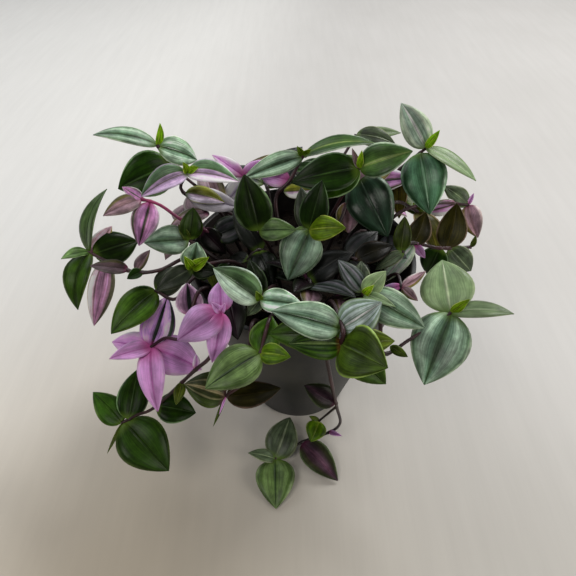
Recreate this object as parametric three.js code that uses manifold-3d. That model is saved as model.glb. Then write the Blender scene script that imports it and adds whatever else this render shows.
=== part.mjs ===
// Potted tradescantia: a tapered plastic nursery pot, its soil, and leafy stems rooted in it.
// Millimetres, +Z up, the pot standing on z = 0 about the Z axis, the viewer on the -Y side.

import * as THREE from 'three';
import Module from 'manifold-3d';

const wasm = await Module();
wasm.setup();

// Pot
const POT_HEIGHT = 146;
const POT_RIM_RADIUS = 75;
const POT_FOOT_RADIUS = 40;
const POT_WALL = 1.8;
const POT_FLOOR = 2.4;
const RIM_BAND_HEIGHT = 14;
const RIM_BAND_STEP = 1.6;
const POT_SIDES = 36;

// Soil
const SOIL_LEVEL = 130;
const SOIL_GAP = 0.3;
const HOLE_DEPTH = 14;
const HOLE_CLEARANCE = 0.35;

// Stems
const STEM_RADIUS = 1.8;
const TWIG_RADIUS = 1.3;
const STEM_SIDES = 4;
const STEM_STEP = 18;
const ROOT_PEG_ABOVE = 5;
const STEM_GAP = 0.5;

// Leaf blades
const BLADE_THICKNESS = 0.9;
const BLADE_GAP = 0.25;
const SHARED_ROOT = { shown: 12, ruled: 1.5 };
const FLOOR_GAP = 0.4;
const BLADE_STATIONS = [0.15, 0.42, 0.74];
const RULED_STATIONS = [0.28, 0.68];
const BUD_STATIONS = [0.4];
const BUD_FOLD = 30;

// Viewpoint: the plant's leaves are placed along sight lines, each named by the picture
// column and row that it passes through.
const EYE = new THREE.Vector3(-8.7, -246.4, 357);
const VIEW_LENGTH = 480;
const VIEW_CENTRE = 288;

// Plant colours, by the tone of a leaf
const TONES = {
  S: 0x7f9a80, // sage
  G: 0x3f6a2c, // mid green
  D: 0x1f3a1c, // dark green
  L: 0x6f961e, // lime
  V: 0x6d8a70, // silver striped
  P: 0xa877b0, // lilac
  W: 0xcfc4d6, // pale lilac
  B: 0x3a2a1c, // brown purple
  O: 0x5a6420, // olive
};

const rad = THREE.MathUtils.degToRad;
const spot = (x, y, z) => new THREE.Vector3(x, y, z);

// Sight line through a picture column and row.
function sight(column, row) {
  const up = VIEW_CENTRE - row;
  return spot(
    column - VIEW_CENTRE,
    (VIEW_LENGTH + up) * Math.SQRT1_2,
    (up - VIEW_LENGTH) * Math.SQRT1_2,
  ).normalize();
}

// Place where the sight line through a column and row meets a height.
function seen(column, row, z) {
  const ray = sight(column, row);
  return EYE.clone().addScaledVector(ray, (z - EYE.z) / ray.z);
}

// Leaf tip on a sight line: as near to the leaf's root as the line comes, then `away`
// millimetres further from the viewer.
const to = (column, row, away) => ({ column, row, away });

// Leafy stems that the picture shows. `root` is a bearing and a radius on the soil, and `way`
// the points that the stem passes through. A leaf is a row of: place along the stem, counted in
// points from the root; tip; width over length; roll about its own axis; arch; fold; tone.
// A bud is a row of: place; tip; width over length; roll; tone.
const SHOWN_STEMS = [
  {
    name: 'leafy_stem_rear_left_tall',
    root: [155, 40],
    way: [spot(-52, 25, 160), seen(171, 165, 188), seen(157, 145, 200)],
    leaves: [
      [2.0, to(118, 189, 3), 0.78, 5, 0.1, 8, 'D'],
      [3.0, to(93, 135, 2), 0.37, 42, 0.12, 10, 'S'],
      [2.95, to(197, 160, 14), 0.66, -20, 0.12, 8, 'S'],
    ],
    buds: [[3.0, to(160, 123, -4), 0.45, 30, 'L']],
  },
  {
    name: 'leafy_stem_left_upper',
    root: [168, 28],
    way: [spot(-42, 14, 162), seen(184, 193, 180), seen(187, 173, 195)],
    leaves: [
      [3.0, to(141, 197, -4), 0.62, 25, 0.1, 36, 'S'],
      [3.0, to(239, 182, -4), 0.58, -25, 0.12, 36, 'S'],
      [2.0, to(225, 203, -2), 0.5, -25, 0.12, 15, 'W'],
      [1.9, to(242, 208, 3), 0.42, -5, 0.08, 10, 'W'],
    ],
    buds: [
      [3.0, to(183, 162, -5), 0.7, 20, 'L'],
      [3.0, to(199, 167, -5), 0.6, -20, 'L'],
    ],
  },
  {
    name: 'leafy_stem_left_pink',
    root: [178, 42],
    way: [spot(-58, 2, 158), seen(182, 220, 168), seen(160, 205, 176), seen(141, 199, 180)],
    leaves: [
      [4.0, to(103, 216, -2), 0.5, 25, 0.1, 12, 'P'],
      [3.9, to(122, 187, 2), 0.55, 15, 0.05, 10, 'P'],
      [3.5, to(139, 246, 0), 0.62, 5, 0.1, 14, 'P'],
      [0.95, to(250, 220, 4), 0.7, 0, 0.08, 12, 'B'],
      [1.35, to(226, 254, 6), 0.62, 0, 0.08, 12, 'B'],
    ],
    buds: [],
  },
  {
    name: 'leafy_stem_left_low_rear',
    root: [190, 44],
    way: [spot(-60, -10, 152), seen(189, 240, 164)],
    leaves: [
      [2.0, to(193, 207, -1), 0.75, 15, 0.06, 14, 'O'],
      [2.0, to(144, 243, -2), 0.72, 15, 0.1, 12, 'S'],
    ],
    buds: [[2.0, to(178, 224, -3), 0.5, 0, 'O']],
  },
  {
    name: 'leafy_stem_left_far',
    root: [188, 56],
    way: [
      spot(-70, -15, 154),
      seen(160, 270, 151),
      seen(135, 272, 148),
      seen(112, 264, 145),
      seen(89, 252, 142),
    ],
    leaves: [
      [5.0, to(107, 189, 0), 0.4, -58, 0.14, 10, 'G'],
      [5.0, to(61, 259, -6), 0.5, 40, 0.1, 15, 'G'],
      [5.0, to(78, 310, -2), 0.5, 35, 0.2, 10, 'D'],
      [4.8, to(138, 241, 9), 0.78, -15, 0.06, 8, 'O'],
      [4.25, to(94, 326, 9), 0.38, 0, 0.08, 12, 'P'],
      [4.9, to(112, 226, 5), 0.5, 0, 0.06, 10, 'O'],
      [3.0, to(150, 250, 0), 0.5, -20, 0.05, 20, 'P'],
      [3.3, to(90, 266, 6), 0.5, 35, 0.05, 15, 'B'],
    ],
    buds: [[2.7, to(127, 279, 0), 0.8, 20, 'D']],
  },
  {
    name: 'leafy_stem_left_front',
    root: [205, 50],
    way: [spot(-64, -34, 155), seen(176, 299, 147), seen(156, 291, 138)],
    leaves: [
      [3.0, to(111, 334, -2), 0.6, 20, 0.1, 8, 'G'],
      [3.0, to(116, 308, 8), 0.55, 0, 0.08, 10, 'D'],
      [3.0, to(190, 264, -4), 0.62, -10, 0.1, 10, 'D'],
    ],
    buds: [],
  },
  {
    name: 'leafy_stem_left_tip',
    root: [200, 34],
    way: [spot(-44, -24, 158), seen(192, 268, 172)],
    leaves: [
      [2.0, to(197, 242, -4), 0.98, 0, 0.08, 8, 'S'],
      [2.0, to(156, 291, 0), 0.5, 10, 0.08, 10, 'S'],
      [2.0, to(218, 272, -6), 0.7, 0, 0.08, 10, 'S'],
      [1.6, to(216, 290, 6), 0.4, 0, 0.08, 10, 'O'],
    ],
    buds: [
      [2.0, to(184, 256, -10), 0.5, 0, 'L'],
      [2.0, to(209, 257, -10), 0.5, 0, 'L'],
    ],
  },
  {
    name: 'leafy_stem_lilac_left',
    root: [213, 53],
    way: [
      spot(-61, -45, 154),
      seen(185, 336, 134),
      seen(165, 338, 122),
      seen(151, 347, 114),
    ],
    leaves: [
      [4.0, to(157, 294, -4), 0.64, 0, 0.06, 10, 'P'],
      [4.0, to(112, 342, 8), 0.68, 10, 0.05, 6, 'P'],
      [4.0, to(109, 359, -6), 0.5, 15, 0.08, 30, 'P'],
      [4.0, to(202, 369, -2), 0.74, -10, 0.1, 10, 'P'],
      [4.0, to(158, 412, -4), 0.42, 10, 0.2, 10, 'P'],
      [1.55, to(187, 283, 2), 0.85, 0, 0.05, 8, 'P'],
    ],
    buds: [],
  },
  {
    name: 'leafy_stem_lilac_front',
    root: [228, 44],
    way: [spot(-42, -48, 156), seen(221, 312, 160)],
    leaves: [
      [2.0, to(177, 341, -2), 0.72, 12, 0.1, 8, 'P'],
      [2.0, to(213, 363, 0), 0.5, -15, 0.1, 10, 'P'],
      [2.0, to(220, 281, 4), 0.8, 0, 0.05, 10, 'P'],
      [1.25, to(238, 340, -9), 0.62, 0, 0.08, 12, 'B'],
    ],
    buds: [
      [2.0, to(211, 302, -5), 0.6, 0, 'P'],
      [2.0, to(225, 303, -5), 0.6, 0, 'P'],
    ],
  },
  {
    name: 'leafy_stem_sprig_left',
    root: [232, 58],
    way: [
      spot(-41, -61, 154),
      seen(212, 354, 126),
      seen(193, 372, 110),
      seen(155, 407, 78),
      seen(137, 415, 66),
      seen(122, 423, 60),
    ],
    leaves: [
      [6.0, to(93, 392, 0), 0.65, 10, 0.08, 8, 'G'],
      [5.5, to(138, 369, 6), 0.62, 0, 0.06, 12, 'D'],
      [5.85, to(169, 471, 2), 0.73, 0, 0.1, 10, 'D'],
      [3.95, to(196, 413, 3), 0.78, -10, 0.1, 10, 'D'],
      [3.3, to(176, 405, -2), 0.5, 0, 0.1, 10, 'G'],
      [2.9, to(196, 354, 2), 0.5, 20, 0.1, 10, 'P'],
    ],
    buds: [[6.0, to(107, 454, 0), 0.14, 0, 'O']],
  },
  {
    name: 'leafy_stem_front_left',
    root: [250, 50],
    way: [spot(-19, -71, 157), seen(260, 353, 146)],
    leaves: [
      [2.0, to(205, 389, -2), 0.68, 12, 0.1, 10, 'G'],
      [2.0, to(291, 357, -6), 0.68, -10, 0.08, 12, 'L'],
      [2.0, to(272, 316, 4), 0.85, 0, 0.06, 16, 'G'],
    ],
    buds: [],
  },
  {
    name: 'leafy_stem_front_low',
    root: [243, 58],
    way: [spot(-29, -72, 153), seen(246, 377, 127), seen(226, 396, 108)],
    leaves: [
      [3.0, to(281, 388, 2), 0.52, 165, 0.1, 10, 'B'],
      [3.0, to(184, 384, 0), 0.86, 15, 0.12, 12, 'V'],
    ],
    buds: [
      [3.0, to(213, 427, 0), 0.14, 0, 'O'],
      [3.0, to(219, 415, -4), 0.14, 0, 'P'],
    ],
  },
  {
    name: 'leafy_stem_centre_left',
    root: [245, 28],
    way: [spot(-18, -44, 156), seen(260, 300, 166)],
    leaves: [
      [2.0, to(213, 268, 0), 0.64, 12, 0.08, 18, 'V'],
      [2.0, to(303, 305, -4), 0.6, -15, 0.08, 10, 'S'],
      [1.7, to(249, 259, 6), 0.45, 0, 0.08, 10, 'P'],
      [1.7, to(242, 313, 4), 0.5, 0, 0.08, 10, 'P'],
    ],
    buds: [[2.0, to(256, 291, -6), 0.6, 0, 'L']],
  },
  {
    name: 'leafy_stem_front_crown',
    root: [287, 46],
    way: [spot(16, -60, 160), seen(343, 330, 161), seen(341, 344, 152)],
    leaves: [
      [2.0, to(271, 311, -4), 0.52, 10, 0.12, 10, 'V'],
      [2.1, to(269, 320, 5), 0.55, 0, 0.08, 8, 'S'],
      [2.0, to(382, 302, 0), 0.82, 0, 0.08, 6, 'S'],
      [3.0, to(288, 344, -11), 0.6, 8, 0.1, 12, 'L'],
      [3.0, to(395, 341, 2), 0.58, -5, 0.1, 8, 'G'],
      [3.0, to(388, 368, -12), 0.98, 0, 0.1, 8, 'G'],
      [2.8, to(388, 386, 6), 0.6, 0, 0.08, 10, 'D'],
    ],
    buds: [],
  },
  {
    name: 'leafy_stem_front_trailer',
    root: [277, 58],
    way: [
      spot(9, -75, 154),
      seen(328, 365, 124),
      seen(333, 390, 92),
      seen(337, 408, 60),
      seen(340, 423, 29),
      seen(330, 432, 9),
      seen(302, 442, 6),
      seen(275, 459, 5),
    ],
    leaves: [
      [3.7, to(304, 385, -8), 0.62, 0, 0.06, 10, 'D'],
      [8.0, to(290, 417, 8), 0.75, 0, 0.1, 12, 'S'],
      [7.0, seen(338, 481, 2), 0.55, 10, 0.12, 10, 'P'],
      [8.0, seen(276, 509, 2), 0.82, 0, 0.1, 10, 'G'],
      [8.0, seen(248, 453, 14), 0.5, 0, 0.08, 15, 'G'],
    ],
    buds: [[6.0, to(342, 436, -12), 0.3, 0, 'P']],
    twigs: [
      {
        from: 3.9,
        way: [seen(331, 411, 50), seen(319, 421, 36)],
        leaves: [
          [2.0, to(311, 442, -4), 0.95, 0, 0.08, 10, 'L'],
          [2.0, to(309, 416, -2), 0.5, 0, 0.08, 10, 'O'],
        ],
        buds: [],
      },
    ],
  },
  {
    name: 'leafy_stem_right_spray',
    root: [310, 52],
    way: [
      spot(43, -61, 154),
      seen(383, 353, 125),
      seen(412, 338, 128),
      seen(451, 313, 137),
    ],
    leaves: [
      [4.0, to(442, 260, 16), 0.9, 0, 0.08, 8, 'S'],
      [4.0, to(514, 314, 0), 0.5, -52, 0.08, 10, 'S'],
      [4.0, to(424, 385, 0), 0.76, 0, 0.08, 8, 'S'],
      [2.2, to(408, 357, 0), 0.5, 0, 0.08, 10, 'B'],
    ],
    buds: [[4.0, to(470, 299, -5), 0.45, 0, 'L']],
  },
  {
    name: 'leafy_stem_right_front',
    root: [322, 34],
    way: [spot(33, -38, 158), seen(364, 294, 163)],
    leaves: [
      [2.0, to(425, 328, 2), 0.55, -8, 0.1, 8, 'S'],
      [2.0, to(396, 307, -8), 0.3, -15, 0.08, 20, 'L'],
      [2.0, to(386, 271, -4), 0.65, 0, 0.06, 10, 'S'],
      [1.9, to(338, 260, 2), 0.55, 12, 0.08, 16, 'V'],
      [1.7, to(361, 261, 6), 0.6, 0, 0.08, 10, 'D'],
    ],
    buds: [[2.0, to(374, 285, -8), 0.5, 0, 'L']],
  },
  {
    name: 'leafy_stem_right_side',
    root: [350, 54],
    way: [spot(66, -8, 153), seen(412, 243, 153), seen(440, 248, 150), seen(471, 247, 149)],
    leaves: [
      [3.2, to(457, 203, 4), 0.68, 165, 0.1, 10, 'B'],
      [2.0, to(426, 212, 4), 0.72, 165, 0.1, 10, 'B'],
      [2.0, to(386, 286, 0), 0.42, 10, 0.08, 10, 'S'],
      [2.1, to(425, 258, 4), 0.5, 0, 0.08, 10, 'P'],
      [3.0, to(427, 274, 14), 0.8, 0, 0.08, 10, 'D'],
      [3.3, to(471, 271, 14), 0.7, 0, 0.08, 10, 'D'],
    ],
    buds: [[4.0, to(476, 235, -2), 0.5, 20, 'O']],
  },
  {
    name: 'leafy_stem_right_rear',
    root: [15, 46],
    way: [spot(66, 20, 162), spot(94, 28, 165), seen(468, 205, 157)],
    leaves: [
      [3.0, to(443, 186, -4), 0.62, 20, 0.1, 10, 'O'],
      [3.0, to(478, 238, -2), 0.65, 10, 0.1, 12, 'P'],
      [2.6, to(422, 213, 2), 0.5, 0, 0.08, 10, 'P'],
    ],
    buds: [[3.0, to(474, 193, 0), 0.4, 0, 'P']],
  },
  {
    name: 'leafy_stem_rear_right_tall',
    root: [35, 40],
    way: [spot(50, 36, 162), seen(400, 169, 181), seen(420, 153, 191), seen(426, 148, 195)],
    leaves: [
      [4.0, to(401, 103, 2), 0.58, 12, 0.08, 8, 'S'],
      [4.0, to(476, 181, -2), 0.42, -56, 0.05, 12, 'S'],
      [3.0, to(417, 216, -4), 0.72, 0, 0.12, 10, 'D'],
      [2.0, to(399, 219, 6), 0.34, 0, 0.1, 10, 'O'],
    ],
    buds: [[4.0, to(440, 130, -4), 0.45, 0, 'L']],
  },
  {
    name: 'leafy_stem_centre_right_tall',
    root: [60, 26],
    way: [spot(22, 22, 162), seen(359, 168, 195)],
    leaves: [
      [2.0, to(291, 183, -2), 0.56, 15, 0.08, 8, 'D'],
      [2.0, to(319, 198, 5), 0.55, 0, 0.08, 10, 'D'],
      [2.0, to(413, 151, -2), 0.64, -12, 0.1, 16, 'G'],
    ],
    buds: [
      [2.0, to(352, 148, -4), 0.35, 0, 'P'],
      [2.0, to(362, 150, -6), 0.4, 0, 'L'],
    ],
  },
  {
    name: 'leafy_stem_centre_right',
    root: [30, 20],
    way: [spot(26, 16, 156), seen(358, 177, 178)],
    leaves: [
      [2.0, to(388, 237, -3), 0.7, 0, 0.1, 10, 'D'],
      [1.9, to(396, 163, 8), 0.55, 0, 0.08, 10, 'P'],
      [1.5, to(345, 233, 8), 0.75, 0, 0.08, 10, 'P'],
    ],
    buds: [],
  },
  {
    name: 'leafy_stem_centre_tall',
    root: [150, 12],
    way: [spot(-14, 8, 156), seen(276, 198, 176), seen(290, 180, 186), seen(303, 156, 195)],
    leaves: [
      [4.0, to(243, 179, -2), 0.36, 15, 0.1, 14, 'S'],
      [4.0, to(377, 144, 0), 0.42, -62, 0.1, 12, 'S'],
      [3.0, to(258, 172, 10), 0.6, 0, 0.08, 10, 'P'],
      [2.4, to(312, 190, 8), 0.5, 0, 0.08, 10, 'P'],
    ],
    buds: [
      [4.0, to(297, 146, -4), 0.6, 0, 'L'],
      [4.0, to(311, 149, -5), 0.6, 0, 'L'],
    ],
  },
  {
    name: 'leafy_stem_rear_top',
    root: [72, 38],
    way: [spot(26, 60, 170), seen(356, 135, 188)],
    leaves: [
      [2.0, to(396, 145, 0), 0.55, -30, 0.12, 10, 'D'],
      [1.9, to(401, 133, 10), 0.3, -30, 0.1, 10, 'P'],
    ],
    buds: [],
  },
  {
    name: 'leafy_stem_middle_left',
    root: [205, 14],
    way: [spot(-20, -10, 156), seen(259, 231, 175)],
    leaves: [
      [2.0, to(244, 174, -2), 0.66, 0, 0.08, 10, 'D'],
      [2.0, to(297, 230, -4), 0.62, -12, 0.1, 14, 'G'],
    ],
    buds: [],
  },
  {
    name: 'leafy_stem_middle',
    root: [285, 10],
    way: [spot(3, -10, 156), seen(309, 230, 175)],
    leaves: [
      [2.0, to(322, 180, -2), 0.58, 0, 0.08, 10, 'D'],
      [1.9, to(301, 187, 6), 0.5, 0, 0.08, 10, 'D'],
      [2.0, to(346, 224, -7), 0.68, -15, 0.1, 14, 'L'],
      [2.0, to(283, 278, -3), 0.8, 0, 0.1, 8, 'V'],
      [2.0, to(289, 237, -4), 0.6, 10, 0.08, 14, 'G'],
    ],
    buds: [],
  },
  {
    name: 'leafy_stem_rear_pink',
    root: [122, 32],
    way: [spot(-24, 38, 160), seen(243, 176, 177)],
    leaves: [
      [2.0, to(212, 155, 0), 0.42, 15, 0.08, 10, 'P'],
      [2.0, to(262, 160, 4), 0.5, 0, 0.08, 10, 'P'],
      [1.9, to(224, 206, 6), 0.55, 0, 0.08, 10, 'W'],
    ],
    buds: [],
  },
  {
    name: 'leafy_stem_right_low',
    root: [338, 54],
    way: [spot(58, -30, 153), seen(402, 287, 153)],
    leaves: [
      [2.0, to(426, 271, 0), 0.4, 10, 0.08, 10, 'P'],
      [2.0, to(418, 301, 0), 0.5, 0, 0.08, 10, 'P'],
      [1.9, to(379, 291, 3), 0.4, 0, 0.08, 10, 'P'],
    ],
    buds: [],
  },
  {
    name: 'leafy_stem_right_mid',
    root: [345, 30],
    way: [spot(46, -12, 154), seen(404, 252, 163)],
    leaves: [
      [2.0, to(375, 270, 2), 0.4, 10, 0.08, 14, 'O'],
      [1.9, to(405, 216, 2), 0.5, 0, 0.08, 10, 'O'],
    ],
    buds: [],
  },
];

// Stems behind and between the shown ones, placed by rule in rings: how many, first bearing and
// step, root radius, reach, crest and end heights, leaf joints on each, leaf length, tones, and
// the bare joints of a stem by its number.
const RULED_RINGS = [
  {
    name: 'leafy_stem_rear',
    count: 7, bearing: 24, step: 22, root: 48, reach: 93, crest: 165, end: 142,
    leaves: 7, length: 40, tones: 'SGDPVGS',
    bare: { 1: [6], 3: [6], 4: [3], 7: [1] },
  },
  {
    name: 'leafy_stem_low',
    count: 6, bearing: 190, step: 33, root: 38, reach: 60, crest: 143, end: 144,
    leaves: 4, length: 26, tones: 'DPBDPB',
    bare: {},
  },
  {
    name: 'leafy_stem_inner',
    count: 5, bearing: 195, step: 42, root: 24, reach: 40, crest: 148, end: 154,
    leaves: 5, length: 30, tones: 'DBVDP',
    bare: { 5: [1, 2, 3] },
  },
];
const SEED = 4711;

// Turns in degrees and scales that a leaf or a ruled stem may take to stay clear of the rest.
const LEAF_SCALES = [1, 0.86, 0.72];
const LEAF_PITCHES = [0, 12, -12, 24, -24];
const LEAF_YAWS = [0, 14, -14, 28, -28];
const SHOWN_TURN_SHARE = 0.4;
const BENDS = [0, 5, -5, 10, -10, 15, -15, 20, -20];

// Park-Miller random numbers.
let randomState = SEED;
function random() {
  randomState = (randomState * 16807) % 2147483647;
  return randomState / 2147483647;
}
const spread = (half) => (random() * 2 - 1) * half;

// Closed solid from a three.js geometry, with its faces turned outwards.
function solid(geometry) {
  const flat = geometry.index ? geometry.toNonIndexed() : geometry;
  const places = flat.getAttribute('position');
  const numbers = new Map();
  const points = [];
  const faces = [];
  for (let i = 0; i < places.count; i += 1) {
    const at = [places.getX(i), places.getY(i), places.getZ(i)];
    const key = at.map((value) => Math.round(value * 1e4)).join();
    if (!numbers.has(key)) {
      numbers.set(key, numbers.size);
      points.push(...at);
    }
    faces.push(numbers.get(key));
  }
  return closed(points, faces);
}

// Closed solid from a list of coordinates and the corners of its triangles.
function closed(points, faces) {
  const kept = [];
  for (let i = 0; i < faces.length; i += 3) {
    const [a, b, c] = faces.slice(i, i + 3);
    if (a !== b && b !== c && c !== a) kept.push(a, b, c);
  }
  const build = () => new wasm.Manifold(new wasm.Mesh({
    numProp: 3,
    vertProperties: new Float32Array(points),
    triVerts: new Uint32Array(kept),
  }));
  const made = build();
  if (made.volume() > 0) return made;
  for (let i = 0; i < kept.length; i += 3) [kept[i], kept[i + 1]] = [kept[i + 1], kept[i]];
  return build();
}

// Mesh of a solid under its node's name.
function mesh(name, made, colour, roughness) {
  const { vertProperties, triVerts } = made.getMesh();
  const geometry = new THREE.BufferGeometry();
  geometry.setAttribute('position', new THREE.BufferAttribute(vertProperties, 3));
  geometry.setIndex(new THREE.BufferAttribute(triVerts, 1));
  const flat = geometry.toNonIndexed();
  flat.computeVertexNormals();
  const material = new THREE.MeshStandardMaterial({ color: colour, roughness, metalness: 0 });
  const node = new THREE.Mesh(flat, material);
  node.name = name;
  return node;
}

// Solid of revolution about Z from a profile of radius and height pairs.
function turned(profile, sides) {
  const corners = profile.map(([radius, height]) => new THREE.Vector2(radius, height));
  const lathe = new THREE.LatheGeometry(corners, sides);
  lathe.rotateX(Math.PI / 2);
  return solid(lathe);
}

const wallRadius = (z) => (
  POT_FOOT_RADIUS + ((POT_RIM_RADIUS - POT_FOOT_RADIUS) * z) / POT_HEIGHT
);

function pot() {
  const bandFoot = POT_HEIGHT - RIM_BAND_HEIGHT;
  return turned([
    [0, 0],
    [POT_FOOT_RADIUS, 0],
    [wallRadius(bandFoot), bandFoot],
    [wallRadius(bandFoot) + RIM_BAND_STEP, bandFoot + 1],
    [POT_RIM_RADIUS + RIM_BAND_STEP, POT_HEIGHT],
    [POT_RIM_RADIUS - POT_WALL, POT_HEIGHT],
    [wallRadius(POT_FLOOR) - POT_WALL, POT_FLOOR],
    [0, POT_FLOOR],
  ], POT_SIDES);
}

// Straight peg that a stem stands on in the soil, or the hole for it.
function peg(x, y, radius, top) {
  const height = top - (SOIL_LEVEL - HOLE_DEPTH);
  const cylinder = new THREE.CylinderGeometry(radius, radius, height, STEM_SIDES);
  cylinder.rotateX(Math.PI / 2);
  cylinder.translate(x, y, SOIL_LEVEL - HOLE_DEPTH + height / 2);
  return solid(cylinder);
}

function soil(stems) {
  const side = POT_WALL + SOIL_GAP;
  const fill = turned([
    [0, POT_FLOOR],
    [wallRadius(POT_FLOOR) - side, POT_FLOOR],
    [wallRadius(SOIL_LEVEL) - side, SOIL_LEVEL],
    [0, SOIL_LEVEL],
  ], POT_SIDES);
  return stems.reduce((left, stem) => {
    const { x, y } = stem.points[0];
    return left.subtract(peg(x, y, STEM_RADIUS + HOLE_CLEARANCE, SOIL_LEVEL + 2));
  }, fill);
}

const through = (points) => new THREE.CatmullRomCurve3(points, false, 'catmullrom', 0.5);
const stepsOf = (curve) => Math.max(3, Math.round(curve.getLength() / STEM_STEP));

// Round bar along a curve.
function bar(curve, radius) {
  const section = new THREE.Shape();
  for (let i = 0; i < STEM_SIDES; i += 1) {
    const turn = (2 * Math.PI * i) / STEM_SIDES;
    const corner = [radius * Math.cos(turn), radius * Math.sin(turn)];
    if (i === 0) section.moveTo(...corner);
    else section.lineTo(...corner);
  }
  return solid(new THREE.ExtrudeGeometry(section, {
    steps: stepsOf(curve),
    extrudePath: curve,
    bevelEnabled: false,
  }));
}

// Place on the middle line of a bar, near the place on its curve that is counted in points
// from the start.
function placeOn(points, count) {
  const curve = through(points);
  const wanted = curve.getPoint(count / (points.length - 1));
  const line = curve.getSpacedPoints(stepsOf(curve));
  const nearest = line.slice(1).map((end, i) => (
    new THREE.Line3(line[i], end).closestPointToPoint(wanted, true, spot(0, 0, 0))
  ));
  return nearest.reduce((best, one) => (
    one.distanceTo(wanted) < best.distanceTo(wanted) ? one : best
  ));
}

function rootPlace([bearing, radius]) {
  const turn = rad(bearing);
  return spot(radius * Math.cos(turn), radius * Math.sin(turn), SOIL_LEVEL + ROOT_PEG_ABOVE - 2);
}

// A stem with its peg in the soil and its twigs: the solids and the points of each run.
function stemOf(rootPoint, way, twigs) {
  const points = [rootPoint, ...way];
  const peak = SOIL_LEVEL + ROOT_PEG_ABOVE;
  const solids = [
    peg(rootPoint.x, rootPoint.y, STEM_RADIUS, peak),
    bar(through(points), STEM_RADIUS),
  ];
  const runs = [points];
  twigs.forEach((twig) => {
    const run = [placeOn(points, twig.from), ...twig.way];
    runs.push(run);
    solids.push(bar(through(run), TWIG_RADIUS));
  });
  return { points, runs, solids, blades: [] };
}

// Half width of a blade at a share of its length, as a share of the greatest half width.
const PEAK_AT = 0.6 / (0.6 + 0.95);
const outline = (t) => t ** 0.6 * (1 - t) ** 0.95;
const halfWidth = (t) => outline(t) / outline(PEAK_AT);

// Triangles between two rows of numbered points.
function stitched(near, far) {
  const triangles = [];
  const after = (row, i) => (i + 1 < row.length ? (i + 1) / (row.length - 1) : Infinity);
  let i = 0;
  let j = 0;
  while (i + 1 < near.length || j + 1 < far.length) {
    if (after(near, i) <= after(far, j)) {
      triangles.push([near[i], far[j], near[i + 1]]);
      i += 1;
    } else {
      triangles.push([near[i], far[j], far[j + 1]]);
      j += 1;
    }
  }
  return triangles;
}

// Leaf blade from its root point, unit axis and unit normal.
function blade({ base, axis, normal, length, width, arch, fold }, stations) {
  const side = new THREE.Vector3().crossVectors(normal, axis);
  const lift = Math.sin(rad(fold));
  const reach = Math.cos(rad(fold));
  const rows = [[base.clone()]];
  stations.forEach((t, index) => {
    const middle = base.clone().addScaledVector(axis, length * t);
    middle.addScaledVector(normal, 4 * arch * length * t * (1 - t));
    const half = 0.5 * width * halfWidth(t);
    const hands = index === 0 && stations.length > 1 ? [-1, 1] : [-1, 0, 1];
    rows.push(hands.map((hand) => middle.clone()
      .addScaledVector(side, hand * half * reach)
      .addScaledVector(normal, Math.abs(hand) * half * lift)));
  });
  rows.push([base.clone().addScaledVector(axis, length)]);
  const places = rows.flat();
  const count = places.length;
  const points = [];
  [0.5, -0.5].forEach((level) => places.forEach((place) => {
    const moved = place.clone().addScaledVector(normal, level * BLADE_THICKNESS);
    points.push(moved.x, moved.y, moved.z);
  }));
  let first = 0;
  const numbered = rows.map((row) => row.map(() => first++));
  const top = numbered.slice(1).flatMap((row, index) => stitched(numbered[index], row));
  const rim = numbered.map((row) => row[row.length - 1]);
  rim.push(...numbered.slice(1, -1).reverse().map((row) => row[0]));
  const faces = [];
  top.forEach(([a, b, c]) => faces.push(a, c, b, a + count, b + count, c + count));
  rim.forEach((here, i) => {
    const next = rim[(i + 1) % rim.length];
    faces.push(next, here, here + count, next, here + count, next + count);
  });
  return closed(points, faces);
}

// Unit vector square to an axis, as near as can be to a wanted direction.
function squareTo(axis, wanted) {
  return wanted.clone().addScaledVector(axis, -wanted.dot(axis)).normalize();
}

// Leaf laid from its root towards its tip, rolled from facing the viewer or the sky.
function laid(base, tip, widthRatio, roll, arch, fold) {
  let end = tip;
  let facing = spot(0, 0, 1);
  if (!tip.isVector3) {
    const ray = sight(tip.column, tip.row);
    const near = base.clone().sub(EYE).dot(ray) + tip.away;
    end = EYE.clone().addScaledVector(ray, near);
    facing = ray.negate();
  }
  const axis = end.clone().sub(base);
  const length = axis.length();
  axis.normalize();
  const normal = squareTo(axis, facing).applyAxisAngle(axis, rad(roll));
  return { base, axis, normal, length, width: widthRatio * length, arch, fold };
}

// The leaf turned by a yaw and a pitch and scaled.
function varied(leaf, yaw, pitch, scale) {
  const axis = leaf.axis.clone().applyAxisAngle(leaf.normal, rad(yaw));
  const side = new THREE.Vector3().crossVectors(leaf.normal, axis);
  const normal = leaf.normal.clone().applyAxisAngle(side, rad(pitch));
  axis.applyAxisAngle(side, rad(pitch));
  return { ...leaf, axis, normal, length: leaf.length * scale, width: leaf.width * scale };
}

// Everything placed so far, each with its node's name.
const placed = [];
function keep(owner, made) {
  placed.push({ owner, made, box: made.boundingBox() });
}

const apart = (a, b, gap) => [0, 1, 2].some((i) => (
  a.min[i] > b.max[i] + gap || b.min[i] > a.max[i] + gap
));

// True where a solid comes within the gap of another node's.
function crowded(owner, made, gap) {
  const box = made.boundingBox();
  return placed.some((other) => (
    other.owner !== owner
    && !apart(box, other.box, gap)
    && made.minGap(other.made, gap + 0.1) < gap
  ));
}

// True where a blade crosses another of its stem by more than their shared root.
const crossing = (blades, made, shared) => blades.some((other) => (
  !apart(made.boundingBox(), other.boundingBox(), 0)
  && made.intersect(other).volume() > shared
));

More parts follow.
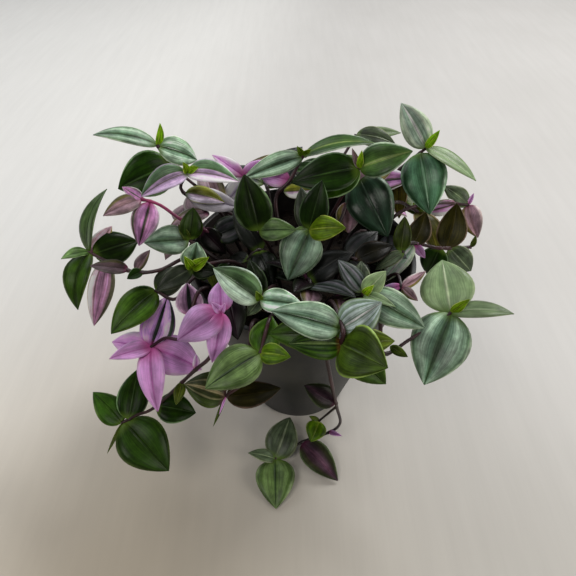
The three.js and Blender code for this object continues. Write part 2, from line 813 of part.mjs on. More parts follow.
// Places a leaf in the first turn and scale that keeps it clear, or leaves it out.
function grow(stem, leaf, stations, share, shared) {
  for (const scale of LEAF_SCALES) {
    for (const pitch of LEAF_PITCHES) {
      for (const yaw of LEAF_YAWS) {
        const made = blade(varied(leaf, yaw * share, pitch * share, scale), stations);
        if (
          made.boundingBox().min[2] > FLOOR_GAP
          && !crossing(stem.blades, made, shared)
          && !crowded(stem.name, made, BLADE_GAP)
        ) {
          keep(stem.name, made);
          stem.blades.push(made);
          stem.solids.push(made);
          return;
        }
      }
    }
  }
}

// Shown stems with their leaf lists.
function shownStem(entry) {
  const twigs = entry.twigs ?? [];
  const stem = stemOf(rootPlace(entry.root), entry.way, twigs);
  const lists = [entry, ...twigs];
  const leaves = lists.flatMap((list, i) => list.leaves.map(([at, tip, ...form]) => ({
    leaf: laid(placeOn(stem.runs[i], at), tip, ...form.slice(0, 4)),
    stations: BLADE_STATIONS,
  })));
  const buds = lists.flatMap((list, i) => list.buds.map(([at, tip, ratio, roll]) => ({
    leaf: laid(placeOn(stem.runs[i], at), tip, ratio, roll, 0.05, BUD_FOLD),
    stations: BUD_STATIONS,
  })));
  const tone = entry.leaves[0][6];
  return { ...stem, name: entry.name, tone, growth: [...leaves, ...buds] };
}

// Ruled stem of a ring: rises from the soil to its crest and hangs outwards to its end.
function ruledStem(ring, index) {
  const bearing = ring.bearing + ring.step * index + spread(4);
  const reach = ring.reach * (1 + spread(0.12));
  const crest = ring.crest + spread(8);
  const end = ring.end + spread(10);
  const rootPoint = rootPlace([bearing, ring.root + spread(4)]);
  const draws = Array.from({ length: ring.leaves }, () => ({
    swing: spread(12),
    lift: spread(0.2),
    roll: spread(22),
    size: spread(0.14),
    width: spread(0.07),
  }));
  const name = `${ring.name}_${index + 1}`;
  const bend = (turn) => {
    const heading = rad(bearing + turn);
    const out = (share, z) => spot(
      rootPoint.x + (reach * Math.cos(heading) - rootPoint.x) * share,
      rootPoint.y + (reach * Math.sin(heading) - rootPoint.y) * share,
      z,
    );
    return stemOf(rootPoint, [out(0.3, crest), out(0.68, (crest + end) / 2 + 4), out(1, end)], []);
  };
  const bent = BENDS.map(bend).find((one) => (
    one.solids.every((made) => !crowded(name, made, STEM_GAP))
  ));
  if (!bent) return undefined;
  const bare = ring.bare[index + 1] ?? [];
  const leafy = draws.map((draw, i) => {
    const count = 3 - (2.3 * i) / ring.leaves;
    return { leaf: ruledLeaf(bent.points, count, i, ring, draw), stations: RULED_STATIONS };
  });
  const growth = leafy.filter((_, i) => !bare.includes(i));
  return { ...bent, name, tone: ring.tones[index % ring.tones.length], growth };
}

// Leaf of a ruled stem: alternate sides, the end ones nearly in line with the stem.
function ruledLeaf(points, count, index, ring, draw) {
  const base = placeOn(points, count);
  const along = through(points).getTangent(count / (points.length - 1));
  const up = spot(0, 0, 1);
  const sideways = new THREE.Vector3().crossVectors(along, up).normalize();
  const hand = index % 2 === 0 ? 1 : -1;
  const swing = rad((index === 0 ? 22 : 62) + draw.swing) * hand;
  const axis = along.clone().multiplyScalar(Math.cos(swing));
  axis.addScaledVector(sideways, Math.sin(swing));
  axis.addScaledVector(up, 0.12 + draw.lift).normalize();
  const normal = squareTo(axis, up).applyAxisAngle(axis, rad(draw.roll));
  const young = index === 0 ? 0.8 : 1;
  const length = ring.length * (1 + draw.size) * young;
  const width = length * (0.58 + draw.width);
  return { base, axis, normal, length, width, arch: 0.1, fold: 10 };
}

const potSolid = pot();
keep('pot', potSolid);

const stems = SHOWN_STEMS.map(shownStem);
stems.forEach((stem) => {
  stem.solids.forEach((made) => keep(stem.name, made));
});
RULED_RINGS.forEach((ring) => {
  for (let index = 0; index < ring.count; index += 1) {
    const stem = ruledStem(ring, index);
    if (stem) {
      stem.solids.forEach((made) => keep(stem.name, made));
      stems.push(stem);
    }
  }
});

const soilSolid = soil(stems);
keep('soil', soilSolid);
stems.forEach((stem) => {
  const ruled = /_\d+$/.test(stem.name);
  const share = ruled ? 1 : SHOWN_TURN_SHARE;
  const shared = ruled ? SHARED_ROOT.ruled : SHARED_ROOT.shown;
  stem.growth.forEach(({ leaf, stations }) => grow(stem, leaf, stations, share, shared));
});

const group = new THREE.Group();
group.add(mesh('pot', potSolid, 0x2f3133, 0.6));
group.add(mesh('soil', soilSolid, 0x2a211b, 0.95));
stems.forEach((stem) => {
  const whole = stem.solids.reduce((sum, made) => sum.add(made));
  group.add(mesh(stem.name, whole, TONES[stem.tone], 0.45));
});

export default group;
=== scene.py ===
"""Potted tradescantia: the finished pot, soil and leafy stems that stand for the plain solids."""

import logging
import math
import random
from collections.abc import Callable, Iterable, Sequence
from dataclasses import dataclass, field, replace
from enum import Enum
from itertools import product
from typing import NamedTuple

import bpy
import numpy as np
from mathutils import Matrix, Vector
from mathutils.kdtree import KDTree


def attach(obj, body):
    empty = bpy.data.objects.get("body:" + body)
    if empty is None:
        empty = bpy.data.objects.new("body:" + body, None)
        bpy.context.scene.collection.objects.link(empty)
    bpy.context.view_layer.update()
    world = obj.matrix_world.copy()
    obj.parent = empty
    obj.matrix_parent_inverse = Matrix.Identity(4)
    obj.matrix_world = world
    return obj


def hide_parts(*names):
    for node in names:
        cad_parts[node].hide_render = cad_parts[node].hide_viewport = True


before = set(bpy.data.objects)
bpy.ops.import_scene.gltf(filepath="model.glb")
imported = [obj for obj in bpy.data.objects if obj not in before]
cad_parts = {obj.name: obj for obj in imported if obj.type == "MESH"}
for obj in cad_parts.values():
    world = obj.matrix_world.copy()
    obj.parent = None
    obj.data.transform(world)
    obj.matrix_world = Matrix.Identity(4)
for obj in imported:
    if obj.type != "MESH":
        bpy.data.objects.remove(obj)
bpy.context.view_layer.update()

log = logging.getLogger("tradescantia")

MM = 0.001

# Sizes shared with the solids, in millimetres
POT_HEIGHT = 146.0
POT_RIM_RADIUS = 75.0
POT_FOOT_RADIUS = 40.0
POT_WALL = 1.8
RIM_BAND_HEIGHT = 14.0
RIM_BAND_STEP = 1.6
SOIL_LEVEL = 130.0
SOIL_DEPTH = 12.0
STEM_STEP = 18.0
ROOT_PEG_ABOVE = 5.0
ROOT_SUNK = 2.0
BLADE_THICKNESS = 0.9
BLADE_STATIONS = (0.15, 0.42, 0.74)
RULED_STATIONS = (0.28, 0.68)
BUD_STATIONS = (0.4,)
BUD_FOLD = 30.0
BUD_ARCH = 0.05

# Powers of the way from a blade's root and of the way from its tip that give its width
WIDTH_RISE = 0.6
WIDTH_FALL = 0.95

# Growth of the pot's outer radius with height
WALL_LEAN = (POT_RIM_RADIUS - POT_FOOT_RADIUS) / POT_HEIGHT

# Places at which a stem's line is measured, counting both ends
LINE_MARKS = 201

# Viewpoint that the leaves are laid out from
EYE = Vector((-8.7, -246.4, 357.0))
VIEW_LENGTH = 480.0
VIEW_CENTRE = 288.0
EYE_TILT = 45.0

# Scales and turns in degrees that a leaf or a ruled stem may have taken to stay clear
LEAF_SCALES = (1.0, 0.86, 0.72)
LEAF_PITCHES = (0.0, 12.0, -12.0, 24.0, -24.0)
LEAF_YAWS = (0.0, 14.0, -14.0, 28.0, -28.0)
SHOWN_TURN_SHARE = 0.4
BENDS = (0, 5, -5, 10, -10, 15, -15, 20, -20)

# A leaf's corners count as found within this distance, and this share of them has to be found
CORNER_REACH = 0.02
LEAST_FOUND = 0.1

# Start, factor and range of the random numbers
SEED = 4711
DRAW_FACTOR = 16807
DRAW_RANGE = 2147483647

# How much lighter each + in a leaf's look makes it, partly for its own tone and partly as painted
# light
TONE_AND_PAINTED_LIGHT_STEP = 1.28

UP = Vector((0.0, 0.0, 1.0))


class Tone(Enum):
    """Looks of a leaf. In a plan a small letter mirrors, and + or - lightens or darkens, partly
    for the leaf's own tone and partly as painted light and painted shade.
    """

    SAGE = "S"
    GREEN = "G"
    DARK = "D"
    LIME = "L"
    STRIPED = "V"
    LILAC = "P"
    PALE = "W"
    BROWN = "B"
    OLIVE = "O"
    FOREST = "F"
    ASH = "A"
    MINT = "E"
    SILVER = "C"
    SHEEN = "I"
    SAGE_AND_LILAC = "H"
    DARK_AND_SILVER = "K"
    LILAC_BLACK_RIB = "M"
    PLUM_BLACK_RIB = "J"
    MAGENTA = "N"
    PINK_STRIPED = "Q"
    DUSKY = "R"
    PLUM = "T"
    GREY_STRIPED = "U"
    BEIGE_STRIPED = "X"
    LIME_STRIPED = "Y"
    RIMMED = "Z"
    OLIVE_AND_LILAC = "1"
    GREEN_LINED = "2"


class Bark(Enum):
    """Looks that a stem can have."""

    DARK = "dark"
    PINK = "pink"


def spot(x: float, y: float, z: float) -> Vector:
    """Place in the part's frame, in millimetres."""
    return Vector((x, y, z))


def sight(column: float, row: float) -> Vector:
    """Unit sight line from the eye.

    Args:
        column: Picture column that the line passes through.
        row: Picture row that the line passes through.

    Returns:
        The direction of the line.
    """
    up = VIEW_CENTRE - row
    share = math.sqrt(0.5)
    line = Vector((column - VIEW_CENTRE, (VIEW_LENGTH + up) * share, (up - VIEW_LENGTH) * share))
    return line.normalized()


def seen(column: float, row: float, z: float) -> Vector:
    """Place where the sight line through a column and row meets a height."""
    ray = sight(column, row)
    return EYE + ray * ((z - EYE.z) / ray.z)


class Toward(NamedTuple):
    """Leaf tip on a sight line, `away` millimetres past the nearest place to the root."""

    column: float
    row: float
    away: float


to = Toward


class LeafPlan(NamedTuple):
    """One leaf: where it grows along the stem, its tip, its look and its form."""

    at: float
    tip: Toward | Vector
    ratio: float
    look: str
    roll: float = 0.0
    arch: float = 0.08
    fold: float = 10.0


class BudPlan(NamedTuple):
    """One young rolled leaf."""

    at: float
    tip: Toward | Vector
    ratio: float
    look: str
    roll: float = 0.0

    def leaf(self) -> LeafPlan:
        """The same as a plan of a leaf."""
        return LeafPlan(*self, BUD_ARCH, BUD_FOLD)


class TwigPlan(NamedTuple):
    """Side twig of a stem with its leaves."""

    start: float
    way: Sequence[Vector]
    leaves: Sequence[tuple]


class StemPlan(NamedTuple):
    """Leafy stem in full view: bearing and radius of its root, points of its way, its leaves."""

    name: str
    root: tuple[float, float]
    way: Sequence[Vector]
    leaves: Sequence[tuple]
    buds: Sequence[tuple] = ()
    twigs: Sequence[TwigPlan] = ()


class RingPlan(NamedTuple):
    """Ring of stems that a rule places, with the form of their leaves."""

    name: str
    count: int
    bearing: float
    step: float
    root: float
    reach: float
    crest: float
    end: float
    leaves: int
    length: float
    # Painted shade: share of their brightness that the ring's leaves keep, lower for rings deep in
    # the crown
    light: float
    looks: Sequence[str]


# In the looks, the + and - steps are partly the leaf's own tone and partly painted light and
# painted shade; leaves deep in the crown carry long runs of - as painted shade
SHOWN_STEMS: tuple[StemPlan, ...] = (
    StemPlan(
        "rear_left_tall", (155, 40),
        (spot(-52, 25, 160), seen(171, 165, 188), seen(157, 145, 200)),
        ((2, to(118, 189, 3), 0.78, "D++", 5, 0.1, 8),
         (3, to(93, 135, 2), 0.37, "S+", 42, 0.12),
         (2.95, to(197, 160, 14), 0.66, "S+++", -20, 0.12, 8)),
        ((3, to(160, 123, -4), 0.45, "L+++++", 30),),
    ),
    StemPlan(
        "left_upper", (168, 28), (spot(-42, 14, 162), seen(184, 193, 180), seen(187, 173, 195)),
        ((3, to(141, 197, -4), 0.62, "H", 25, 0.1, 36),
         (3, to(239, 182, -4), 0.58, "h++", -25, 0.12, 36),
         (2, to(225, 203, -2), 0.5, "1-", -25, 0.12, 15),
         (1.9, to(242, 208, 3), 0.42, "W--", -5)),
        ((3, to(183, 162, -5), 0.7, "L+++", 20), (3, to(199, 167, -5), 0.6, "L+++", -20)),
    ),
    StemPlan(
        "left_pink", (178, 42),
        (spot(-58, 2, 158), seen(182, 220, 168), seen(160, 205, 176), seen(141, 199, 180)),
        ((4, to(103, 216, -2), 0.5, "R+", 25, 0.1, 12),
         (3.9, to(122, 187, 2), 0.55, "N+", 15, 0.05),
         (3.5, to(139, 246, 0), 0.62, "N", 5, 0.1, 14),
         (0.95, to(250, 220, 4), 0.7, "U----", 0, 0.08, 12),
         (1.35, to(226, 254, 6), 0.62, "T-----", 0, 0.08, 12)),
    ),
    StemPlan(
        "left_low_rear", (190, 44), (spot(-60, -10, 152), seen(189, 240, 164)),
        ((2, to(193, 207, -1), 0.75, "F---", 15, 0.06, 14),
         (2, to(144, 243, -2), 0.72, "S-", 15, 0.1, 12)),
        ((2, to(178, 224, -3), 0.5, "O"),),
    ),
    StemPlan(
        "left_far", (188, 56),
        (spot(-70, -15, 154), seen(160, 270, 151), seen(135, 272, 148), seen(112, 264, 145),
         seen(89, 252, 142)),
        ((5, to(107, 189, 0), 0.4, "G", -58, 0.14),
         (5, to(61, 259, -6), 0.5, "G+++", 40, 0.1, 15),
         (5, to(78, 310, -2), 0.5, "F-", 35, 0.2),
         (4.8, to(138, 241, 9), 0.78, "D-", -15, 0.06, 8),
         (4.25, to(94, 326, 9), 0.38, "Q+", 0, 0.08, 12),
         (4.9, to(112, 226, 5), 0.5, "R+++++", 0, 0.06),
         (3, to(150, 250, 0), 0.5, "R-", -20, 0.05, 20),
         (3.3, to(90, 266, 6), 0.5, "R----", 35, 0.05, 15)),
        ((2.7, to(127, 279, 0), 0.8, "D", 20),),
    ),
    StemPlan(
        "left_front", (205, 50),
        (spot(-64, -34, 155), seen(176, 299, 147), seen(156, 291, 138)),
        ((3, to(111, 334, -2), 0.6, "F", 20, 0.1, 8), (3, to(116, 308, 8), 0.55, "D"),
         (3, to(190, 264, -4), 0.62, "A-", -10, 0.1)),
    ),
    StemPlan(
        "left_tip", (200, 34), (spot(-44, -24, 158), seen(192, 268, 172)),
        ((2, to(197, 242, -4), 0.98, "S", 0, 0.08, 8), (2, to(156, 291, 0), 0.5, "A---", 10),
         (2, to(218, 272, -6), 0.7, "D-----"), (1.6, to(216, 290, 6), 0.4, "O+")),
        ((2, to(184, 256, -10), 0.5, "L+++"), (2, to(209, 257, -10), 0.5, "L++")),
    ),
    StemPlan(
        "lilac_left", (213, 53),
        (spot(-61, -45, 154), seen(185, 336, 134), seen(165, 338, 122), seen(151, 347, 114)),
        ((4, to(157, 294, -4), 0.64, "M", 0, 0.06),
         (4, to(112, 342, 8), 0.68, "P+", 10, 0.05, 6),
         (4, to(109, 359, -6), 0.5, "P-", 15, 0.08, 30),
         (4, to(202, 369, -2), 0.74, "P", -10, 0.1), (4, to(158, 412, -4), 0.42, "P", 10, 0.2),
         (1.55, to(187, 283, 2), 0.85, "J+", 0, 0.05, 8)),
    ),
    StemPlan(
        "lilac_front", (228, 44), (spot(-42, -48, 156), seen(221, 312, 160)),
        ((2, to(177, 341, -2), 0.72, "P--", 12, 0.1, 8),
         (2, to(213, 363, 0), 0.5, "P", -15, 0.1), (2, to(220, 281, 4), 0.8, "P", 0, 0.05),
         (1.25, to(238, 340, -9), 0.62, "T-----", 0, 0.08, 12)),
        ((2, to(211, 302, -5), 0.6, "P"), (2, to(225, 303, -5), 0.6, "P")),
    ),
    StemPlan(
        "sprig_left", (232, 58),
        (spot(-41, -61, 154), seen(212, 354, 126), seen(193, 372, 110), seen(155, 407, 78),
         seen(137, 415, 66), seen(122, 423, 60)),
        ((6, to(93, 392, 0), 0.65, "F", 10, 0.08, 8),
         (5.5, to(138, 369, 6), 0.62, "D+", 0, 0.06, 12),
         (5.85, to(169, 471, 2), 0.73, "F---", 0, 0.1),
         (3.95, to(196, 413, 3), 0.78, "D", -10, 0.1),
         (3.3, to(176, 405, -2), 0.5, "O+", 0, 0.1), (2.9, to(196, 354, 2), 0.5, "P++", 20, 0.1)),
        ((6, to(107, 454, 0), 0.14, "O+"),),
    ),
    StemPlan(
        "front_left", (250, 50), (spot(-19, -71, 157), seen(260, 353, 146)),
        ((2, to(205, 389, -2), 0.68, "G", 12, 0.1),
         (2, to(291, 357, -6), 0.68, "L", -10, 0.08, 12),
         (2, to(272, 316, 4), 0.85, "F+", 0, 0.06, 16)),
    ),
    StemPlan(
        "front_low", (243, 58), (spot(-29, -72, 153), seen(246, 377, 127), seen(226, 396, 108)),
        ((3, to(281, 388, 2), 0.52, "B----", 165, 0.1),
         (3, to(184, 384, 0), 0.86, "X", 15, 0.12, 12)),
        ((3, to(213, 427, 0), 0.14, "O"), (3, to(219, 415, -4), 0.14, "P")),
    ),
    StemPlan(
        "centre_left", (245, 28), (spot(-18, -44, 156), seen(260, 300, 166)),
        ((2, to(213, 268, 0), 0.64, "K", 12, 0.08, 18), (2, to(303, 305, -4), 0.6, "S+++", -15),
         (1.7, to(249, 259, 6), 0.45, "D-----"), (1.7, to(242, 313, 4), 0.5, "A+++++")),
        ((2, to(256, 291, -6), 0.6, "L"),),
    ),
    StemPlan(
        "front_crown", (287, 46),
        (spot(16, -60, 160), seen(343, 330, 161), seen(341, 344, 152)),
        ((2, to(271, 311, -4), 0.52, "S", 10, 0.12),
         (2.1, to(269, 320, 5), 0.55, "F", 0, 0.08, 8),
         (2, to(382, 302, 0), 0.82, "V", 0, 0.08, 6),
         (3, to(288, 344, -11), 0.6, "Y", 8, 0.1, 12),
         (3, to(395, 341, 2), 0.58, "O++", -5, 0.1, 8),
         (3, to(388, 368, -12), 0.98, "Z", 0, 0.1, 8), (2.8, to(388, 386, 6), 0.6, "F")),
    ),
    StemPlan(
        "front_trailer", (277, 58),
        (spot(9, -75, 154), seen(328, 365, 124), seen(333, 390, 92), seen(337, 408, 60),
         seen(340, 423, 29), seen(330, 432, 9), seen(302, 442, 6), seen(275, 459, 5)),
        ((3.7, to(304, 385, -8), 0.62, "T+", 0, 0.06),
         (8, to(290, 417, 8), 0.75, "A++", 0, 0.1, 12),
         (7, seen(338, 481, 2), 0.55, "T++++", 10, 0.12),
         (8, seen(276, 509, 2), 0.82, "G+", 0, 0.1),
         (8, seen(248, 453, 14), 0.5, "A+++++", 0, 0.08, 15)),
        ((6, to(342, 436, -12), 0.3, "P"),),
        (
            TwigPlan(3.9, (seen(331, 411, 50), seen(319, 421, 36)),
                     ((2, to(311, 442, -4), 0.95, "L-"), (2, to(309, 416, -2), 0.5, "O"))),
        ),
    ),
    StemPlan(
        "right_spray", (310, 52),
        (spot(43, -61, 154), seen(383, 353, 125), seen(412, 338, 128), seen(451, 313, 137)),
        ((4, to(442, 260, 16), 0.9, "E+", 0, 0.08, 8), (4, to(514, 314, 0), 0.5, "E-", -52),
         (4, to(424, 385, 0), 0.76, "S+", 0, 0.08, 8), (2.2, to(408, 357, 0), 0.5, "O")),
        ((4, to(470, 299, -5), 0.45, "L++"),),
    ),
    StemPlan(
        "right_front", (322, 34), (spot(33, -38, 158), seen(364, 294, 163)),
        ((2, to(425, 328, 2), 0.55, "S", -8, 0.1, 8),
         (2, to(396, 307, -8), 0.3, "E+", -15, 0.08, 20),
         (2, to(386, 271, -4), 0.65, "E++", 0, 0.06),
         (1.9, to(338, 260, 2), 0.55, "U", 12, 0.08, 16), (1.7, to(361, 261, 6), 0.6, "A+")),
        ((2, to(374, 285, -8), 0.5, "L+++++"),),
    ),
    StemPlan(
        "right_side", (350, 54),
        (spot(66, -8, 153), seen(412, 243, 153), seen(440, 248, 150), seen(471, 247, 149)),
        ((3.2, to(457, 203, 4), 0.68, "B-", 165, 0.1),
         (2, to(426, 212, 4), 0.72, "B--", 165, 0.1), (2, to(386, 286, 0), 0.42, "C++", 10),
         (2.1, to(425, 258, 4), 0.5, "P--"), (3, to(427, 274, 14), 0.8, "D-"),
         (3.3, to(471, 271, 14), 0.7, "A+++")),
        ((4, to(476, 235, -2), 0.5, "O", 20),),
    ),
    StemPlan(
        "right_rear", (15, 46), (spot(66, 20, 162), spot(94, 28, 165), seen(468, 205, 157)),
        ((3, to(443, 186, -4), 0.62, "A++++", 20, 0.1),
         (3, to(478, 238, -2), 0.65, "R+++", 10, 0.1, 12), (2.6, to(422, 213, 2), 0.5, "N++++")),
        ((3, to(474, 193, 0), 0.4, "P"),),
    ),
    StemPlan(
        "rear_right_tall", (35, 40),
        (spot(50, 36, 162), seen(400, 169, 181), seen(420, 153, 191), seen(426, 148, 195)),
        ((4, to(401, 103, 2), 0.58, "C", 12, 0.08, 8),
         (4, to(476, 181, -2), 0.42, "E+", -56, 0.05, 12),
         (3, to(417, 216, -4), 0.72, "I+++", 0, 0.12),
         (2, to(399, 219, 6), 0.34, "B+++++", 0, 0.1)),
        ((4, to(440, 130, -4), 0.45, "L+++++"),),
    ),
    StemPlan(
        "centre_right_tall", (60, 26), (spot(22, 22, 162), seen(359, 168, 195)),
        ((2, to(291, 183, -2), 0.56, "D-", 15, 0.08, 8), (2, to(319, 198, 5), 0.55, "D+++++"),
         (2, to(413, 151, -2), 0.64, "2", -12, 0.1, 16)),
        ((2, to(352, 148, -4), 0.35, "R"), (2, to(362, 150, -6), 0.4, "L++++")),
    ),
    StemPlan(
        "centre_right", (30, 20), (spot(26, 16, 156), seen(358, 177, 178)),
        ((2, to(388, 237, -3), 0.7, "I---", 0, 0.1), (1.9, to(396, 163, 8), 0.55, "R+++"),
         (1.5, to(345, 233, 8), 0.75, "R+++")),
    ),
    StemPlan(
        "centre_tall", (150, 12),
        (spot(-14, 8, 156), seen(276, 198, 176), seen(290, 180, 186), seen(303, 156, 195)),
        ((4, to(243, 179, -2), 0.36, "S+", 15, 0.1, 14),
         (4, to(377, 144, 0), 0.42, "2-", -62, 0.1, 12), (3, to(258, 172, 10), 0.6, "P+"),
         (2.4, to(312, 190, 8), 0.5, "1+++")),
        ((4, to(297, 146, -4), 0.6, "L"), (4, to(311, 149, -5), 0.6, "L")),
    ),
    StemPlan(
        "rear_top", (72, 38), (spot(26, 60, 170), seen(356, 135, 188)),
        ((2, to(396, 145, 0), 0.55, "A++", -30, 0.12),
         (1.9, to(401, 133, 10), 0.3, "E", -30, 0.1)),
    ),
    StemPlan(
        "middle_left", (205, 14), (spot(-20, -10, 156), seen(259, 231, 175)),
        ((2, to(244, 174, -2), 0.66, "D--"), (2, to(297, 230, -4), 0.62, "G", -12, 0.1, 14)),
    ),
    StemPlan(
        "middle", (285, 10), (spot(3, -10, 156), seen(309, 230, 175)),
        ((2, to(322, 180, -2), 0.58, "D--"), (1.9, to(301, 187, 6), 0.5, "A--"),
         (2, to(346, 224, -7), 0.68, "L+", -15, 0.1, 14),
         (2, to(283, 278, -3), 0.8, "S-", 0, 0.1, 8),
         (2, to(289, 237, -4), 0.6, "G", 10, 0.08, 14)),
    ),
    StemPlan(
        "rear_pink", (122, 32), (spot(-24, 38, 160), seen(243, 176, 177)),
        ((2, to(212, 155, 0), 0.42, "P++", 15), (2, to(262, 160, 4), 0.5, "P"),
         (1.9, to(224, 206, 6), 0.55, "W+")),
    ),
    StemPlan(
        "right_low", (338, 54), (spot(58, -30, 153), seen(402, 287, 153)),
        ((2, to(426, 271, 0), 0.4, "R+++", 10), (2, to(418, 301, 0), 0.5, "R"),
         (1.9, to(379, 291, 3), 0.4, "P-")),
    ),
    StemPlan(
        "right_mid", (345, 30), (spot(46, -12, 154), seen(404, 252, 163)),
        ((2, to(375, 270, 2), 0.4, "A++", 10, 0.08, 14), (1.9, to(405, 216, 2), 0.5, "O---")),
    ),
)

# The low and inner rings are painted darker as painted shade deep in the crown; the + and - steps
# in their looks are partly the leaves' own tone and partly painted light and painted shade
RULED_RINGS: tuple[RingPlan, ...] = (
    RingPlan("rear", 7, 24, 22, 48, 93, 165, 142, 7, 40, 1.0,
             ("B++ O", "N+ G-", "D", "R", "U--", "G", "R")),
    RingPlan("low", 6, 190, 33, 38, 60, 143, 144, 4, 26, 0.6,
             ("D", "T-", "B", "T++ T++ R+", "T", "U-")),
    RingPlan("inner", 5, 195, 42, 24, 40, 148, 154, 5, 30, 0.22,
             ("A----- A--- T---- D---- A---", "D-", "R+++++ U++++ T+++ A------ T++",
              "D----- B----- U---- U-- U--", "D--")),
)

PINK_STEMS = {"left_pink", "rear_pink"}


class Draws:
    """Park-Miller random numbers, drawn in the same order as the solids draw them."""

    def __init__(self, seed: int) -> None:
        """Starts the row of numbers."""
        self.state = seed

    def spread(self, half: float) -> float:
        """Next number between -half and half."""
        self.state = (self.state * DRAW_FACTOR) % DRAW_RANGE
        return (self.state / DRAW_RANGE * 2 - 1) * half


def turned(vector: Vector, axis: Vector, degrees: float) -> Vector:
    """The vector turned about an axis."""
    return Matrix.Rotation(math.radians(degrees), 3, axis) @ vector


def square_to(axis: Vector, wanted: Vector) -> Vector:
    """Unit vector square to an axis, as near as can be to a wanted direction."""
    return (wanted - axis * wanted.dot(axis)).normalized()


class Run:
    """Smooth line through a stem's points, and the straight steps that its solid takes."""

    def __init__(self, points: Sequence[Vector]) -> None:
        """Measures the line.

        Args:
            points: Points that the line passes through.
        """
        self.points = list(points)
        self.shares = np.linspace(0.0, 1.0, LINE_MARKS)
        places = [self.point(share) for share in self.shares]
        steps = [(b - a).length for a, b in zip(places, places[1:])]
        self.lengths = np.concatenate(([0.0], np.cumsum(steps)))
        self.length = float(self.lengths[-1])

    def point(self, share: float) -> Vector:
        """Place on the line.

        Args:
            share: Share of the way, counted in points.

        Returns:
            The place in millimetres.
        """
        last = len(self.points) - 1
        whole = min(int(last * share), last - 1)
        t = last * share - whole
        b, c = self.points[whole], self.points[whole + 1]
        a = self.points[whole - 1] if whole > 0 else b * 2 - c
        d = self.points[whole + 2] if whole + 2 <= last else c * 2 - b
        rise, fall = (c - a) * 0.5, (d - b) * 0.5
        bend = (c - b) * 3 - rise * 2 - fall
        twist = (b - c) * 2 + rise + fall
        return b + rise * t + bend * t**2 + twist * t**3

    def heading(self, share: float) -> Vector:
        """Unit direction of the line at a share of the way, counted in points."""
        low, high = max(0.0, share - 1e-4), min(1.0, share + 1e-4)
        return (self.point(high) - self.point(low)).normalized()

    def share_at(self, length: float) -> float:
        """Share of the way, counted in points, at a length along the line."""
        return float(np.interp(length, self.lengths, self.shares))

    def length_at(self, count: float) -> float:
        """Length along the line at a place that is counted in points from the start."""
        return float(np.interp(count / (len(self.points) - 1), self.shares, self.lengths))

    def spaced(self) -> list[Vector]:
        """Ends of the straight steps of the solid."""
        steps = max(3, int(self.length / STEM_STEP + 0.5))
        return [self.point(self.share_at(self.length * i / steps)) for i in range(steps + 1)]

    def place_on(self, count: float) -> Vector:
        """Place on the solid's middle line nearest to a place counted in points.

        Args:
            count: The place, counted in points from the start.

        Returns:
            The nearest place on the solid's middle line.
        """
        wanted = self.point(count / (len(self.points) - 1))
        line = self.spaced()
        best = None
        for a, b in zip(line, line[1:]):
            span = b - a
            share = min(1.0, max(0.0, (wanted - a).dot(span) / span.length_squared))
            place = a + span * share
            if best is None or (place - wanted).length < (best - wanted).length:
                best = place
        return best


def half_width(t: np.ndarray | float) -> np.ndarray | float:
    """Half width of a blade at a share of its length, as a share of the greatest half width.

    Args:
        t: Share of the length.

    Returns:
        The half width there.
    """
    peak = WIDTH_RISE / (WIDTH_RISE + WIDTH_FALL)
    widest = peak**WIDTH_RISE * (1 - peak) ** WIDTH_FALL
    return (t**WIDTH_RISE * (1 - t) ** WIDTH_FALL) / widest


@dataclass
class Leaf:
    """A leaf's place and form, in millimetres and degrees."""

    base: Vector
    axis: Vector
    normal: Vector
    length: float
    width: float
    arch: float
    fold: float
    look: str
    stations: tuple[float, ...] = BLADE_STATIONS
    # Painted shade of the leaf's ruled ring, as a share of its brightness
    light: float = 1.0

    def varied(self, yaw: float, pitch: float, scale: float) -> "Leaf":
        """The leaf turned by a yaw and a pitch and scaled.

        Args:
            yaw: Turn about the normal.
            pitch: Turn about the sideways direction.
            scale: Share of the first length and width.

        Returns:
            A new leaf.
        """
        axis = turned(self.axis, self.normal, yaw)
        side = self.normal.cross(axis)
        return replace(self, axis=turned(axis, side, pitch),
                       normal=turned(self.normal, side, pitch),
                       length=self.length * scale, width=self.width * scale)

    @property
    def tone(self) -> Tone:
        """Look of the leaf."""
        return Tone(self.look[0].upper())

    @property
    def mirrored(self) -> bool:
        """Whether the look's two halves are swapped."""
        return self.look[0].islower()

    @property
    def young(self) -> bool:
        """Whether the leaf is still rolled."""
        return self.stations == BUD_STATIONS

    @property
    def shade(self) -> float:
        """How much lighter than its look the leaf is: its ring's painted shade times its look's
        steps, which are partly its own tone and partly painted light and painted shade.
        """
        return self.light * TONE_AND_PAINTED_LIGHT_STEP ** (self.look.count("+") - self.look.count("-"))

    def corners(self) -> list[Vector]:
        """Corners of the leaf's plain solid, apart from those at its root.

        Returns:
            The places of the corners.
        """
        side = self.normal.cross(self.axis)
        lift, reach = math.sin(math.radians(self.fold)), math.cos(math.radians(self.fold))
        places = [self.base + self.axis * self.length]
        for t in self.stations:
            middle = self.base + self.axis * self.length * t
            middle += self.normal * 4 * self.arch * self.length * t * (1 - t)
            half = 0.5 * self.width * float(half_width(t))
            places += [
                middle + side * hand * half * reach + self.normal * half * lift
                for hand in (-1, 1)
            ]
        level = self.normal * 0.5 * BLADE_THICKNESS
        return [place + level * hand for place in places for hand in (1, -1)]


def laid(base: Vector, plan: LeafPlan, stations: tuple[float, ...]) -> Leaf:
    """Leaf laid from its root towards its tip, rolled from facing the eye or the sky.

    Args:
        base: Root of the leaf.
        plan: Its tip and form.
        stations: Shares of the length at which the plain solid has its corners.

    Returns:
        The leaf.
    """
    end, facing = plan.tip, UP
    if isinstance(end, Toward):
        ray = sight(end.column, end.row)
        end = EYE + ray * ((base - EYE).dot(ray) + end.away)
        facing = -ray
    axis = end - base
    length = axis.length
    axis.normalize()
    normal = turned(square_to(axis, facing), axis, plan.roll)
    return Leaf(base, axis, normal, length, plan.ratio * length, plan.arch, plan.fold,
                plan.look, stations)


